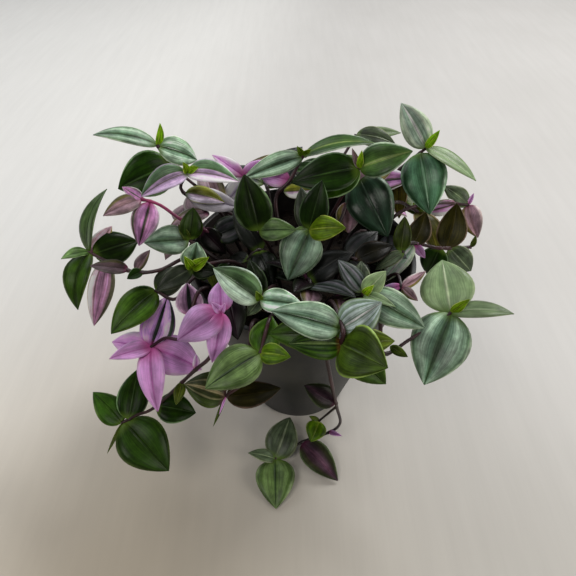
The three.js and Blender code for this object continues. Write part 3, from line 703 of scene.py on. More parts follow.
class NodePoints:
    """Corners of a plain solid, to find out how its leaves were laid."""

    def __init__(self, node: str) -> None:
        """Gathers the corners of one node.

        Args:
            node: Name of the plain solid.
        """
        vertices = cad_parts[node].data.vertices
        self.tree = KDTree(len(vertices))
        for index, vertex in enumerate(vertices):
            self.tree.insert(vertex.co / MM, index)
        self.tree.balance()

    def share_of(self, places: Iterable[Vector]) -> float:
        """Share of the places at which the solid has a corner."""
        found = [self.tree.find(place)[2] < CORNER_REACH for place in places]
        return sum(found) / len(found)

    def settled(self, leaf: Leaf, share: float) -> Leaf | None:
        """The leaf as the solid has it.

        Args:
            leaf: The leaf as it was first laid.
            share: Share of the turns that it may have taken.

        Returns:
            The leaf with its turns and scale, or None where the solid goes without it.
        """
        best, found = None, LEAST_FOUND
        for scale, pitch, yaw in product(LEAF_SCALES, LEAF_PITCHES, LEAF_YAWS):
            one = leaf.varied(yaw * share, pitch * share, scale)
            count = self.share_of(one.corners())
            if count > found:
                best, found = one, count
        return best


# Finished radii at the root of a stem and of its side twigs
MAIN_RADIUS = 1.4
SIDE_RADIUS = 1.05


@dataclass
class Twig:
    """A run of stem with the places at which its leaves grow, counted in points."""

    run: Run
    nodes: list[float] = field(default_factory=list)
    radius: float = MAIN_RADIUS


@dataclass
class LeafyStem:
    """A rooted stem of the plant with its twigs and leaves."""

    name: str
    bark: Bark
    twigs: list[Twig]
    leaves: list[Leaf]

    @property
    def node(self) -> str:
        """Name of the plain solid that the stem stands for."""
        return f"leafy_stem_{self.name}"


def root_place(bearing: float, radius: float) -> Vector:
    """Place where a stem leaves its peg in the soil.

    Args:
        bearing: Bearing in degrees.
        radius: Distance from the pot's middle line.

    Returns:
        The place.
    """
    turn = math.radians(bearing)
    height = SOIL_LEVEL + ROOT_PEG_ABOVE - ROOT_SUNK
    return spot(radius * math.cos(turn), radius * math.sin(turn), height)


def shown_stem(plan: StemPlan) -> LeafyStem:
    """Stem in full view, from its plan.

    Args:
        plan: The stem's root, way, leaves and twigs.

    Returns:
        The stem with its leaves as the solid has them.
    """
    main = Run([root_place(*plan.root), *plan.way])
    parts = [(Twig(main), plan.leaves, plan.buds)]
    for twig in plan.twigs:
        run = Run([main.place_on(twig.start), *twig.way])
        parts.append((Twig(run, radius=SIDE_RADIUS), twig.leaves, ()))
    points = NodePoints(f"leafy_stem_{plan.name}")
    leaves = []
    for twig, leaf_rows, bud_rows in parts:
        grown = [(LeafPlan(*row), BLADE_STATIONS) for row in leaf_rows]
        grown += [(BudPlan(*row).leaf(), BUD_STATIONS) for row in bud_rows]
        for one, stations in grown:
            leaf = points.settled(laid(twig.run.place_on(one.at), one, stations),
                                  SHOWN_TURN_SHARE)
            if leaf:
                leaves.append(leaf)
                twig.nodes.append(one.at)
    bark = Bark.PINK if plan.name in PINK_STEMS else Bark.DARK
    return LeafyStem(plan.name, bark, [part[0] for part in parts], leaves)


class LeafDraws(NamedTuple):
    """Seeded draws of one ruled leaf, made in this order, or their half ranges."""

    swing: float
    lift: float
    roll: float
    size: float
    width: float


@dataclass
class RuledRing:
    """Ring of stems that a rule places with seeded random numbers."""

    plan: RingPlan
    draws: Draws
    bearing_spread: float = 4
    reach_spread: float = 0.12
    crest_spread: float = 8
    end_spread: float = 10
    root_spread: float = 4
    leaf_spreads: LeafDraws = LeafDraws(12, 0.2, 22, 0.14, 0.07)
    crest_share: float = 0.3
    slope_share: float = 0.68
    slope_lift: float = 4
    last_count: float = 3
    leafy_count: float = 2.3
    first_swing: float = 22
    later_swing: float = 62
    first_size: float = 0.8
    lift: float = 0.12
    ratio: float = 0.58
    arch: float = 0.1
    fold: float = 10.0

    def stem(self, index: int) -> LeafyStem | None:
        """One stem of the ring.

        Args:
            index: Number of the stem, from 0.

        Returns:
            The stem, or None where the solids go without it.
        """
        plan, spread = self.plan, self.draws.spread
        bearing = plan.bearing + plan.step * index + spread(self.bearing_spread)
        reach = plan.reach * (1 + spread(self.reach_spread))
        crest = plan.crest + spread(self.crest_spread)
        end = plan.end + spread(self.end_spread)
        root = root_place(bearing, plan.root + spread(self.root_spread))
        forms = [LeafDraws(*map(spread, self.leaf_spreads)) for _ in range(plan.leaves)]
        name = f"{plan.name}_{index + 1}"
        if f"leafy_stem_{name}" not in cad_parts:
            return None
        points = NodePoints(f"leafy_stem_{name}")
        words = plan.looks[index].split()
        best: list[tuple[float, Leaf]] | None = None
        for turn in BENDS:
            run = self.line(root, math.radians(bearing + turn), reach, (crest, end))
            found = []
            for number, form in enumerate(forms):
                count = self.last_count - (self.leafy_count * number) / plan.leaves
                leaf = self.leaf(run, count, number, form, words[number % len(words)])
                leaf = points.settled(leaf, 1.0)
                if leaf:
                    found.append((count, leaf))
            if best is None or len(found) > len(best):
                best, best_run = found, run
        twig = Twig(best_run, [count for count, _ in best])
        return LeafyStem(name, Bark.DARK, [twig], [leaf for _, leaf in best])

    def line(self, root: Vector, heading: float, reach: float,
             heights: tuple[float, float]) -> Run:
        """Line of a stem: up from its root, over its crest and out to its end.

        Args:
            root: Place where it leaves the soil.
            heading: Its bearing in radians.
            reach: Distance of its end from the pot's middle line.
            heights: Heights of its crest and its end.

        Returns:
            The line.
        """
        crest, end = heights
        goal = spot(reach * math.cos(heading), reach * math.sin(heading), 0.0)
        way = [root]
        slope = (crest + end) / 2 + self.slope_lift
        for share, height in ((self.crest_share, crest), (self.slope_share, slope), (1.0, end)):
            place = root.lerp(goal, share)
            way.append(spot(place.x, place.y, height))
        return Run(way)

    def leaf(self, run: Run, count: float, number: int, form: LeafDraws, look: str) -> Leaf:
        """Leaf of a ruled stem: alternate sides, the end ones nearly in line with the stem.

        Args:
            run: The stem's line.
            count: Place along it, counted in points.
            number: Number of the leaf from the stem's end.
            form: The leaf's draws.
            look: Word for the leaf's look.

        Returns:
            The leaf as it was first laid.
        """
        along = run.heading(count / (len(run.points) - 1))
        sideways = along.cross(UP).normalized()
        hand = 1 if number % 2 == 0 else -1
        first = number == 0
        swing = math.radians((self.first_swing if first else self.later_swing) + form.swing) * hand
        axis = along * math.cos(swing) + sideways * math.sin(swing)
        axis += UP * (self.lift + form.lift)
        axis.normalize()
        normal = turned(square_to(axis, UP), axis, form.roll)
        length = self.plan.length * (1 + form.size) * (self.first_size if first else 1.0)
        return Leaf(run.place_on(count), axis, normal, length, length * (self.ratio + form.width),
                    self.arch, self.fold, look, RULED_STATIONS, self.plan.light)


def grown_stems() -> list[LeafyStem]:
    """All leafy stems, the shown ones first.

    Returns:
        The stems.
    """
    stems = [shown_stem(plan) for plan in SHOWN_STEMS]
    draws = Draws(SEED)
    for plan in RULED_RINGS:
        ring = RuledRing(plan, draws)
        stems += [stem for stem in map(ring.stem, range(plan.count)) if stem]
    return stems


# Finishes


def srgb(code: str) -> tuple[float, float, float, float]:
    """Linear colour of a hex colour code.

    Args:
        code: Six hex digits.

    Returns:
        Red, green, blue and alpha.
    """
    parts = [int(code[i:i + 2], 16) / 255 for i in (0, 2, 4)]
    linear = [p / 12.92 if p <= 0.04045 else ((p + 0.055) / 1.055) ** 2.4 for p in parts]
    return (*linear, 1.0)


class Graph:
    """Node tree of one new material."""

    def __init__(self, name: str) -> None:
        """Makes the material with an empty tree.

        Args:
            name: Name of the material.
        """
        self.material = bpy.data.materials.new(name)
        self.material.use_nodes = True
        self.tree = self.material.node_tree
        self.tree.nodes.clear()
        self.output = self.node("ShaderNodeOutputMaterial")

    def node(self, kind: str, **settings: object) -> bpy.types.Node:
        """Adds a node.

        Args:
            kind: Blender's name of the kind of node.
            **settings: Properties of the node.

        Returns:
            The node.
        """
        made = self.tree.nodes.new(kind)
        for key, value in settings.items():
            setattr(made, key, value)
        return made

    def feed(self, socket: bpy.types.NodeSocket, value: object) -> None:
        """Links a socket to another, or sets it.

        Args:
            socket: Input of a node.
            value: Output of a node, or a constant.
        """
        if isinstance(value, bpy.types.NodeSocket):
            self.tree.links.new(value, socket)
        else:
            socket.default_value = value

    def fed(self, kind: str, values: dict[str | int, object],
            **settings: object) -> bpy.types.Node:
        """Adds a node and feeds its inputs.

        Args:
            kind: Blender's name of the kind of node.
            values: Value or socket for each input, by name or number.
            **settings: Properties of the node.

        Returns:
            The node.
        """
        made = self.node(kind, **settings)
        for key, value in values.items():
            self.feed(made.inputs[key], value)
        return made

    def math(self, operation: str, *values: object, clamp: bool = False) -> bpy.types.NodeSocket:
        """Result of a sum on one to three values."""
        sums = dict(enumerate(values))
        return self.fed("ShaderNodeMath", sums, operation=operation, use_clamp=clamp).outputs[0]

    def times(self, value: object, factor: object) -> bpy.types.NodeSocket:
        """Value times a factor."""
        return self.math("MULTIPLY", value, factor)

    def scaled(self, value: object, factor: object, offset: object) -> bpy.types.NodeSocket:
        """Value times a factor, plus an offset."""
        return self.math("MULTIPLY_ADD", value, factor, offset)

    def blend(self, share: object, first: object, second: object,
              kind: str = "MIX") -> bpy.types.NodeSocket:
        """Colour between two colours.

        Args:
            share: Share of the second colour.
            first: First colour.
            second: Second colour.
            kind: Way in which they are mixed.

        Returns:
            The mixed colour.
        """
        values = {"Factor": share, 6: first, 7: second}
        return self.fed("ShaderNodeMix", values, data_type="RGBA", blend_type=kind).outputs[2]

    def span(self, value: object, low: float, high: float, new_low: float = 0.0,
             new_high: float = 1.0) -> bpy.types.NodeSocket:
        """Value moved smoothly from one range to another and held at its ends."""
        values = dict(enumerate((value, low, high, new_low, new_high)))
        return self.fed("ShaderNodeMapRange", values, interpolation_type="SMOOTHSTEP").outputs[0]

    def ramp(self, value: object, stops: Sequence[tuple[float, str]]) -> bpy.types.NodeSocket:
        """Colour of a value by stops of position and hex colour.

        Args:
            value: The value, from 0 to 1.
            stops: Positions and their colours.

        Returns:
            The colour.
        """
        made = self.fed("ShaderNodeValToRGB", {0: value})
        band = made.color_ramp
        band.interpolation = "EASE"
        while len(band.elements) < len(stops):
            band.elements.new(0.5)
        for element, (position, code) in zip(band.elements, sorted(stops)):
            element.position = position
            element.color = srgb(code)
        return made.outputs[0]

    def noise(self, vector: object, scale: float, detail: float = 2.0,
              roughness: float = 0.5) -> bpy.types.NodeSocket:
        """Noise value between about 0 and 1."""
        values = {"Vector": vector, "Scale": scale, "Detail": detail, "Roughness": roughness}
        return self.fed("ShaderNodeTexNoise", values).outputs["Fac"]

    def place(self) -> bpy.types.NodeSocket:
        """Coordinates on the piece, in metres."""
        return self.node("ShaderNodeTexCoord").outputs["Object"]

    def flat_place(self) -> bpy.types.NodeSocket:
        """Coordinates on a leaf's blade: from edge to edge, then from root to tip."""
        return self.node("ShaderNodeUVMap", uv_map="UVMap").outputs[0]

    def carried(self, name: str) -> bpy.types.NodeSocket:
        """Number that the mesh carries under a name."""
        return self.node("ShaderNodeAttribute", attribute_name=name).outputs["Fac"]

    def parts(self, vector: object) -> tuple[bpy.types.NodeSocket, ...]:
        """The three numbers of a vector."""
        return tuple(self.fed("ShaderNodeSeparateXYZ", {0: vector}).outputs)

    def vector(self, *numbers: object) -> bpy.types.NodeSocket:
        """Vector of three numbers."""
        return self.fed("ShaderNodeCombineXYZ", dict(enumerate(numbers))).outputs[0]

    def radius(self, x: object, y: object) -> bpy.types.NodeSocket:
        """Distance from the pot's middle line."""
        squares = [self.math("POWER", number, 2.0) for number in (x, y)]
        return self.math("SQRT", self.math("ADD", *squares))

    def toned(self, colour: object, value: object, hue: object = 0.5) -> bpy.types.NodeSocket:
        """Colour with its brightness scaled and its hue turned, where 0.5 is no turn."""
        values = {"Color": colour, "Value": value, "Hue": hue}
        return self.fed("ShaderNodeHueSaturation", values).outputs[0]

    def gloss(self, colour: object, roughness: object, normal: object,
              mirror: float) -> bpy.types.Node:
        """Surface shader.

        Args:
            colour: Base colour.
            roughness: Roughness.
            normal: Normal from a bump.
            mirror: Strength of the shine.

        Returns:
            The shader node.
        """
        return self.fed("ShaderNodeBsdfPrincipled", {
            "Base Color": colour, "Roughness": roughness, "Normal": normal,
            "Specular IOR Level": mirror})

    def bump(self, height: object, depth: float, strength: float) -> bpy.types.NodeSocket:
        """Normal of a height, with its depth in metres."""
        values = {"Strength": strength, "Distance": depth, "Height": height}
        return self.fed("ShaderNodeBump", values).outputs[0]

    def done(self, shader: bpy.types.Node) -> bpy.types.Material:
        """Material with the shader as its surface."""
        self.tree.links.new(shader.outputs[0], self.output.inputs["Surface"])
        return self.material


# Greatest brightness of a leaf's colour
LEAF_WHITE = (0.9, 0.9, 0.9, 1.0)

# How deep the lines, the broad patches and the fine blots go in a leaf's colour; the broad patches
# are partly the leaf's own mottling and partly painted sheen
LINE_DEPTH = 0.6
PATCH_AND_SHEEN_DEPTH = 0.8
BLOT_DEPTH = 0.35


@dataclass(frozen=True)
class LeafFinish:
    """Look of a leaf: colours from midrib to edge on each half, and what lies beneath."""

    tone: Tone
    across: str
    other: str = ""
    foot: str = "5f7a2a"
    flush: float = 0.2
    under: str = "6a4a58"
    gloss: float = 0.36
    contrast: float = 1.0
    glow: float = 0.12
    wander: float = 0.5
    mirror: float = 0.28
    split: float = 0.5
    level: float = 1.0

    @staticmethod
    def stops(text: str) -> list[tuple[float, str]]:
        """Positions and colours from words such as `30 4f6a2c`, in hundredths."""
        words = text.split()
        return [(int(place) / 100, code) for place, code in zip(words[::2], words[1::2])]

    @staticmethod
    def cross(graph: Graph, u: object) -> bpy.types.NodeSocket:
        """Share of the way from the midrib to the edge."""
        return graph.math("ABSOLUTE", graph.scaled(u, 2.0, -1.0))

    def striped(self, graph: Graph, u: object, cross: object,
                swayed: object) -> bpy.types.NodeSocket:
        """Stripes along the blade, with the look of each half, its midrib and its edge.

        Args:
            graph: Node tree of the material.
            u: Place from edge to edge.
            cross: Share of the way from the midrib to the edge.
            swayed: The same share, waved a little.

        Returns:
            The colour.
        """
        stops = self.stops(self.across)
        colour = graph.ramp(swayed, stops)
        if self.other:
            half = graph.span(u, self.split - 0.01, self.split + 0.01)
            colour = graph.blend(half, graph.ramp(swayed, self.stops(self.other)), colour)
        colour = graph.blend(graph.span(cross, 0.02, 0.075, 0.8, 0.0), colour, srgb(stops[0][1]))
        return graph.blend(graph.span(cross, 0.88, 0.97, 0.0, 0.75), colour, srgb(stops[-1][1]))

    def top(self) -> bpy.types.Material:
        """Material of the upper face.

        Returns:
            The material.
        """
        graph = Graph(f"leaf_{self.tone.name.lower()}_top")
        u, v, _ = graph.parts(graph.flat_place())
        tint = graph.carried("tint")
        drift = graph.vector(graph.times(u, 2.4), graph.times(v, 2.0), graph.times(tint, 40.0))
        sway = graph.noise(drift, 1.0, 3.0, 0.6)
        cross = self.cross(graph, u)
        drawn = graph.scaled(sway, self.wander, 1 - self.wander * 0.5)
        swayed = graph.math("MULTIPLY", cross, drawn, clamp=True)
        grain = graph.vector(graph.times(swayed, 22.0), graph.times(v, 1.6),
                             graph.times(tint, 90.0))
        lines = graph.noise(grain, 1.0)
        blot = graph.noise(graph.place(), 240.0, 4.0, 0.65)
        # Broad patches, partly the leaf's own mottling and partly painted sheen; they also vary
        # the roughness
        patch = graph.noise(drift, 1.3)
        # The carried shade is partly the leaf's own tone and partly painted light and painted
        # shade
        light = graph.times(self.level, graph.carried("shade"))
        for value, depth in ((lines, LINE_DEPTH), (patch, PATCH_AND_SHEEN_DEPTH), (blot, BLOT_DEPTH)):
            depth *= self.contrast
            light = graph.times(light, graph.span(value, 0.3, 0.7, 1 - depth / 2, 1 + depth / 2))
        colour = graph.toned(self.striped(graph, u, cross, swayed), light,
                             graph.scaled(tint, 0.02, 0.49))
        colour = graph.blend(1.0, colour, LEAF_WHITE, "DARKEN")
        foot = graph.span(graph.scaled(sway, 0.06, v), 0.04, self.flush, 0.75, 0.0)
        colour = graph.blend(foot, colour, srgb(self.foot))
        height = graph.scaled(lines, 0.2, graph.span(cross, 0.0, 0.08))
        normal = graph.bump(graph.scaled(blot, 0.3, height), 0.0006, 0.7)
        rough = graph.scaled(patch, 0.2, self.gloss - 0.1)
        return self.lit(graph, graph.gloss(colour, rough, normal, self.mirror), colour)

    def beneath(self) -> bpy.types.Material:
        """Material of the lower face.

        Returns:
            The material.
        """
        graph = Graph(f"leaf_{self.tone.name.lower()}_under")
        cross = self.cross(graph, graph.parts(graph.flat_place())[0])
        blot = graph.noise(graph.place(), 180.0, 3.0, 0.6)
        rib = graph.span(cross, 0.0, 0.1, 1.0, 0.0)
        light = graph.scaled(rib, 0.3, graph.scaled(blot, 0.5, 0.72))
        # The carried shade paints the same light and shade on the lower face
        colour = graph.toned(srgb(self.under), graph.times(light, graph.carried("shade")))
        shader = graph.gloss(colour, 0.5, graph.bump(rib, 0.0005, 0.6), 0.4)
        return self.lit(graph, shader, colour)

    def lit(self, graph: Graph, shader: bpy.types.Node, colour: object) -> bpy.types.Material:
        """Material of a shader with a share of light let through the blade.

        Args:
            graph: Node tree of the material.
            shader: Shader of the surface.
            colour: Colour of the light that comes through.

        Returns:
            The material.
        """
        through = graph.fed("ShaderNodeBsdfTranslucent", {0: colour})
        values = {0: self.glow, 1: shader.outputs[0], 2: through.outputs[0]}
        return graph.done(graph.fed("ShaderNodeMixShader", values))


LEAF_FINISHES = (
    # Sage: the pale band halfway out on each half is partly painted sheen
    LeafFinish(Tone.SAGE, "0 2f422b 8 40573d 24 64806a 50 94ac96 74 7e987f 92 567053 100 a9bba1",
               contrast=1.2, level=1.01),
    LeafFinish(Tone.GREEN, "0 2e4722 3 45602e 8 5e7a43 50 69854e 80 4e6a33 100 778d5e", level=0.7),
    LeafFinish(Tone.DARK, "0 2c421a 6 122203 50 172d04 88 122602 100 5c7450",
               under="45303a", gloss=0.33, level=1.4, mirror=0.14),
    LeafFinish(Tone.LIME, "0 aac246 5 8ca821 12 60830a 50 6b8f12 85 60830c 100 b4c85b",
               foot="9aac3a", under="7d8a3a", glow=0.25, level=0.68, mirror=0.18),
    LeafFinish(Tone.STRIPED, "0 ffffff 5 809784 15 a2b4ac 30 c4d4d3 42 809784 56 b3c4c5 "
                             "70 738b71 88 a4b6ab 100 6e815a", wander=0.3, level=0.87),
    LeafFinish(Tone.LILAC, "0 a862a2 5 a86fa6 16 b883b9 60 c894cb 88 d0a4d8 100 dcaee0",
               foot="c23a8c", flush=0.42, under="8a6488", gloss=0.42, glow=0.25, contrast=0.5,
               level=1.34),
    LeafFinish(Tone.PALE, "0 9a8ca2 6 c8bed4 30 e4deec 80 ece6f2 100 f6f2f8",
               foot="a06a98", under="a890b4", gloss=0.42, glow=0.25, contrast=0.6),
    LeafFinish(Tone.BROWN, "0 38320f 6 2a2806 50 28260a 85 222005 100 6a5a4a",
               foot="3a3018", under="402a32", level=1.98, mirror=0.12),
    LeafFinish(Tone.OLIVE, "0 616b2a 6 3c4910 50 445313 85 37440d 100 65732d",
               level=1.11, mirror=0.16),
    LeafFinish(Tone.FOREST, "0 223808 4 324815 10 2c450e 50 335113 85 2c450e 100 51652e",
               gloss=0.33, level=1.32, mirror=0.16),
    LeafFinish(Tone.ASH, "0 5a644d 5 3f4833 12 2c3625 60 374130 90 303825 100 5d644d", level=1.12),
    LeafFinish(Tone.MINT, "0 c4d2ac 5 92a87e 12 859d71 60 8ea478 90 83996d 100 aabc90",
               under="7f7a6a", glow=0.2, contrast=0.6, level=0.8),
    LeafFinish(Tone.SILVER, "0 ffffff 9 f2fdee 15 96b09b 45 a8c0ae 62 d2e1cb 80 b0c3a9 "
                            "100 c0d0b4", under="8f8a7a", glow=0.2, wander=0.3, level=0.85),
    LeafFinish(Tone.SHEEN, "0 54705a 5 24402a 50 3f604a 88 26442a 100 7c9a80", gloss=0.3,
               mirror=0.36, level=1.0),
    LeafFinish(Tone.SAGE_AND_LILAC, "0 8a7a80 10 ae96b8 50 c0a4ca 85 ccb6da 100 c8bcd2",
               "0 6f7a3a 10 4c5c34 50 557050 85 71906e 100 9aa893",
               glow=0.2, split=0.36, level=0.97),
    LeafFinish(Tone.DARK_AND_SILVER,
               "0 5c6f53 12 8da187 35 a7baa7 50 8fa390 70 a7baa5 100 aebeae",
               "0 3b4e2e 20 394d2e 60 4e6942 85 425633 100 8d9d8b", level=1.14),
    # Its level of 1.9 is partly painted light, for its one leaf that stands in shade
    LeafFinish(Tone.LILAC_BLACK_RIB, "0 161c18 9 202620 14 8b6793 30 b285be 60 c99ed5 "
                                     "90 a274ae 100 9c72aa",
               "0 161c18 9 202620 14 ad80bc 55 c49cd3 66 b49cbc 74 283328 100 37443a",
               foot="b83a88", glow=0.25, wander=0.2, level=1.9),
    LeafFinish(Tone.PLUM_BLACK_RIB, "0 0c0f0d 14 121713 20 574054 50 71556d 85 85697f 100 9b8795",
               foot="9a2f6e", wander=0.2, level=1.83, mirror=0.16),
    LeafFinish(Tone.MAGENTA, "0 35382c 10 5a4a4a 20 a6709c 60 b480ae 88 cda6c8 100 f0d0e4",
               "0 35382c 15 9f6a9a 50 ac7caa 72 7c5a72 84 424530 100 4a4a30",
               foot="a0286a", glow=0.25, wander=0.3, level=1.53),
    LeafFinish(Tone.PINK_STRIPED, "0 a07a94 35 b482a4 58 8f7080 72 4a4a38 100 8a8a70",
               "0 a07a94 30 b886aa 48 7b6068 62 d0b4c0 100 f0e0e4", foot="9a3a6a",
               glow=0.25, wander=0.3, level=1.26),
    LeafFinish(Tone.DUSKY, "0 8f6f74 20 a68694 70 957b84 100 b6a7a4",
               "0 8f6f74 38 a2828c 62 786d3e 100 575a22", foot="86305a", glow=0.2, level=0.75),
    LeafFinish(Tone.PLUM, "0 5c3c4c 15 4a3240 40 3a2a30 62 2a2a1a 85 2c341a 100 5a6a48",
               foot="5a2a44", level=0.42, mirror=0.16),
    LeafFinish(Tone.GREY_STRIPED, "0 303f34 8 506056 25 81898a 42 a7a2b0 56 506056 74 878e91 "
                                  "88 455344 100 5d6b58", wander=0.25, level=0.51),
    LeafFinish(Tone.BEIGE_STRIPED, "0 58503a 7 685f47 13 232511 36 1c210b 46 535038 "
                                   "56 1d250c 78 232c0f 100 323d18", foot="6a4a4a",
               wander=0.25, level=1.97, mirror=0.18),
    LeafFinish(Tone.LIME_STRIPED, "0 a1bb71 6 83a04e 12 203a03 30 3e5f09 46 1d3703 "
                                  "64 46690e 82 345307 100 65882c", foot="8a5a30",
               wander=0.25, level=0.45, mirror=0.18),
    LeafFinish(Tone.RIMMED, "0 425520 5 28370c 50 2e410b 84 263407 93 364816 100 6d833f",
               wander=0.15, level=1.52, mirror=0.16),
    LeafFinish(Tone.OLIVE_AND_LILAC, "0 5a5a30 20 66661f 60 85852a 100 9c9c4e",
               "0 8f6f74 15 a890a8 60 cfc4d8 100 dcd4e4", glow=0.2, level=1.19),
    LeafFinish(Tone.GREEN_LINED, "0 93a565 5 7c9448 14 45602a 50 3a5624 84 3f5a34 100 a9bba0",
               level=1.13),
)


@dataclass(frozen=True)
class BarkFinish:
    """Look of a stem: two colours in patches, dark in the shade over the soil."""

    bark: Bark
    skin: str
    flush: str
    shaded: str = "1c1213"

    def material(self) -> bpy.types.Material:
        """Material of the stem.

        Returns:
            The material.
        """
        graph = Graph(f"stem_{self.bark.value}")
        place = graph.place()
        patch = graph.noise(place, 60.0)
        streak = graph.noise(place, 900.0)
        colour = graph.blend(graph.span(patch, 0.4, 0.65), srgb(self.skin), srgb(self.flush))
        x, y, z = graph.parts(place)
        clear = graph.math("MAXIMUM", graph.span(z, 0.15, 0.175),
                           graph.span(graph.radius(x, y), 0.066, 0.08))
        colour = graph.blend(clear, srgb(self.shaded), colour)
        colour = graph.toned(colour, graph.scaled(streak, 0.6, 0.7))
        return graph.done(graph.gloss(colour, 0.42, graph.bump(streak, 0.0004, 0.5), 0.45))


BARK_FINISHES = (BarkFinish(Bark.DARK, "2c171b", "43252a"),
                 BarkFinish(Bark.PINK, "6a1c44", "96305e"))


@dataclass(frozen=True)
class PotFinish:
    """Moulded dark grey plastic with fine grain and faint scuffs, painted near black inside as
    painted shade.
    """

    plastic: str = "303132"
    dusty: str = "434340"
    scuffed: str = "6c6a64"
    painted_inner_shade: str = "17120e"

    def material(self) -> bpy.types.Material:
        """Material of the pot.

        Returns:
            The material.
        """
        graph = Graph("pot_plastic")
        place = graph.place()
        dust = graph.noise(place, 22.0, 4.0, 0.6)
        grain = graph.noise(place, 1800.0)
        scuff = graph.noise(place, 140.0, 5.0, 0.7)
        colour = graph.blend(graph.span(dust, 0.42, 0.75), srgb(self.plastic), srgb(self.dusty))
        worn = graph.span(scuff, 0.62, 0.72, 0.0, 0.25)
        colour = graph.blend(worn, colour, srgb(self.scuffed))
        # Painted shade: everything inside the line of the outer wall, the inner wall and the base,
        # is painted near black
        x, y, z = graph.parts(place)
        wall = graph.scaled(z, WALL_LEAN, POT_FOOT_RADIUS * MM)
        inside = graph.math("SUBTRACT", wall, graph.radius(x, y))
        inner_shade = graph.span(graph.scaled(dust, 0.002, inside), 0.0012, 0.0022)
        colour = graph.blend(inner_shade, colour, srgb(self.painted_inner_shade))
        normal = graph.bump(graph.scaled(scuff, 0.5, grain), 0.00015, 0.5)
        return graph.done(graph.gloss(colour, graph.scaled(dust, 0.25, 0.42), normal, 0.4))


@dataclass(frozen=True)
class SoilFinish:
    """Potting mix, dark with paler fibres; the dark is partly the mix's own colour and partly
    painted shade from the leaves above.
    """

    # Colours of the mix, darkened partly as painted shade
    shades: tuple[tuple[float, str], ...] = (
        (0.3, "0a0705"), (0.5, "18110c"), (0.65, "281d14"), (0.8, "40301f"))

    def material(self) -> bpy.types.Material:
        """Material of the soil.

        Returns:
            The material.
        """
        graph = Graph("potting_mix")
        place = graph.place()
        lumps = graph.noise(place, 220.0, 5.0, 0.7)
        fibre = graph.noise(place, 900.0, 3.0, 0.6)
        height = graph.math("ADD", lumps, graph.times(fibre, 0.5))
        normal = graph.bump(height, 0.002, 0.8)
        return graph.done(graph.gloss(graph.ramp(lumps, self.shades), 0.95, normal, 0.2))


@dataclass(frozen=True)
class FloorFinish:
    """Plain pale floor with faint brush marks, with painted shade that makes it darker and warmer
    towards the front and painted light that makes it brighter towards the left and back.
    """

    grey: str = "c7c5c2"
    pale: str = "d0cecc"
    painted_shade_warm: str = "b9ad9a"
    painted_shade_grey: str = "bcb8b0"
    painted_light_left: str = "f0efec"

    def material(self) -> bpy.types.Material:
        """Material of the floor.

        Returns:
            The material.
        """
        graph = Graph("pale_floor")
        place = graph.place()
        colour = graph.blend(graph.noise(place, 6.0, 3.0), srgb(self.grey), srgb(self.pale))
        x, y, _ = graph.parts(place)
        # Painted shade: darker towards the front, warm on the left and grey on the right
        front = graph.blend(graph.span(x, -0.15, 0.15), srgb(self.painted_shade_warm),
                            srgb(self.painted_shade_grey))
        near = graph.span(graph.scaled(x, 0.35, y), -0.25, 0.15, 1.0, 0.0)
        colour = graph.blend(near, colour, front)
        # Painted light: brighter towards the left and back
        far = graph.span(graph.scaled(y, 0.2, graph.times(x, -1.0)), 0.05, 0.4, 0.0, 0.7)
        colour = graph.blend(far, colour, srgb(self.painted_light_left))
        strokes = graph.fed("ShaderNodeMapping", {"Vector": place, "Scale": (90.0, 7.0, 1.0)})
        brush = graph.noise(strokes.outputs[0], 1.0, 4.0, 0.6)
        colour = graph.toned(colour, graph.scaled(brush, 0.12, 0.94))
        return graph.done(graph.gloss(colour, 0.6, graph.bump(brush, 0.0008, 0.3), 0.25))


# Pieces


def deselect() -> None:
    """Leaves object mode with nothing selected."""
    if bpy.context.object and bpy.context.object.mode != "OBJECT":
        bpy.ops.object.mode_set(mode="OBJECT")
    bpy.ops.object.select_all(action="DESELECT")


def edit_all() -> None:
    """Enters edit mode with the whole piece selected."""
    bpy.ops.object.mode_set(mode="EDIT")
    bpy.ops.mesh.select_all(action="SELECT")


def close_edit() -> None:
    """Turns all faces of the piece outwards and leaves edit mode."""
    bpy.ops.mesh.select_all(action="SELECT")
    bpy.ops.mesh.normals_make_consistent(inside=False)
    bpy.ops.object.mode_set(mode="OBJECT")


def draw_up(share: float, rise: float) -> None:
    """Extrudes the selected face, scaled by a share and raised by millimetres.

    Args:
        share: Size of the new face as a share of the old.
        rise: Way up, in millimetres.
    """
    bpy.ops.mesh.extrude_region_move()
    bpy.ops.transform.resize(value=(share, share, 1.0))
    bpy.ops.transform.translate(value=(0.0, 0.0, rise * MM))


def pick(piece: bpy.types.Object, wanted: Callable[[Vector], bool]) -> None:
    """Selects the vertices of a piece whose places are wanted, and enters edit mode.

    Args:
        piece: The piece.
        wanted: Says whether the vertex at a place is wanted.
    """
    bpy.ops.object.mode_set(mode="OBJECT")
    mesh = piece.data
    for vertex in mesh.vertices:
        vertex.select = wanted(vertex.co)
    for part in (*mesh.edges, *mesh.polygons):
        part.select = all(mesh.vertices[i].select for i in part.vertices)
    bpy.ops.object.mode_set(mode="EDIT")


def modify(piece: bpy.types.Object, name: str, kind: str, **settings: object) -> None:
    """Puts a modifier on the active piece and applies it.

    Args:
        piece: The piece.
        name: Name of the modifier.
        kind: Blender's name of its kind.
        **settings: Properties of the modifier.
    """
    made = piece.modifiers.new(name, kind)
    for key, value in settings.items():
        setattr(made, key, value)
    bpy.ops.object.modifier_apply(modifier=made.name)


def placed(name: str, data: bpy.types.ID) -> bpy.types.Object:
    """New object in the scene with its data.

    Args:
        name: Name of the object.
        data: Its mesh, lamp or camera.

    Returns:
        The object.
    """
    made = bpy.data.objects.new(name, data)
    bpy.context.scene.collection.objects.link(made)
    return made


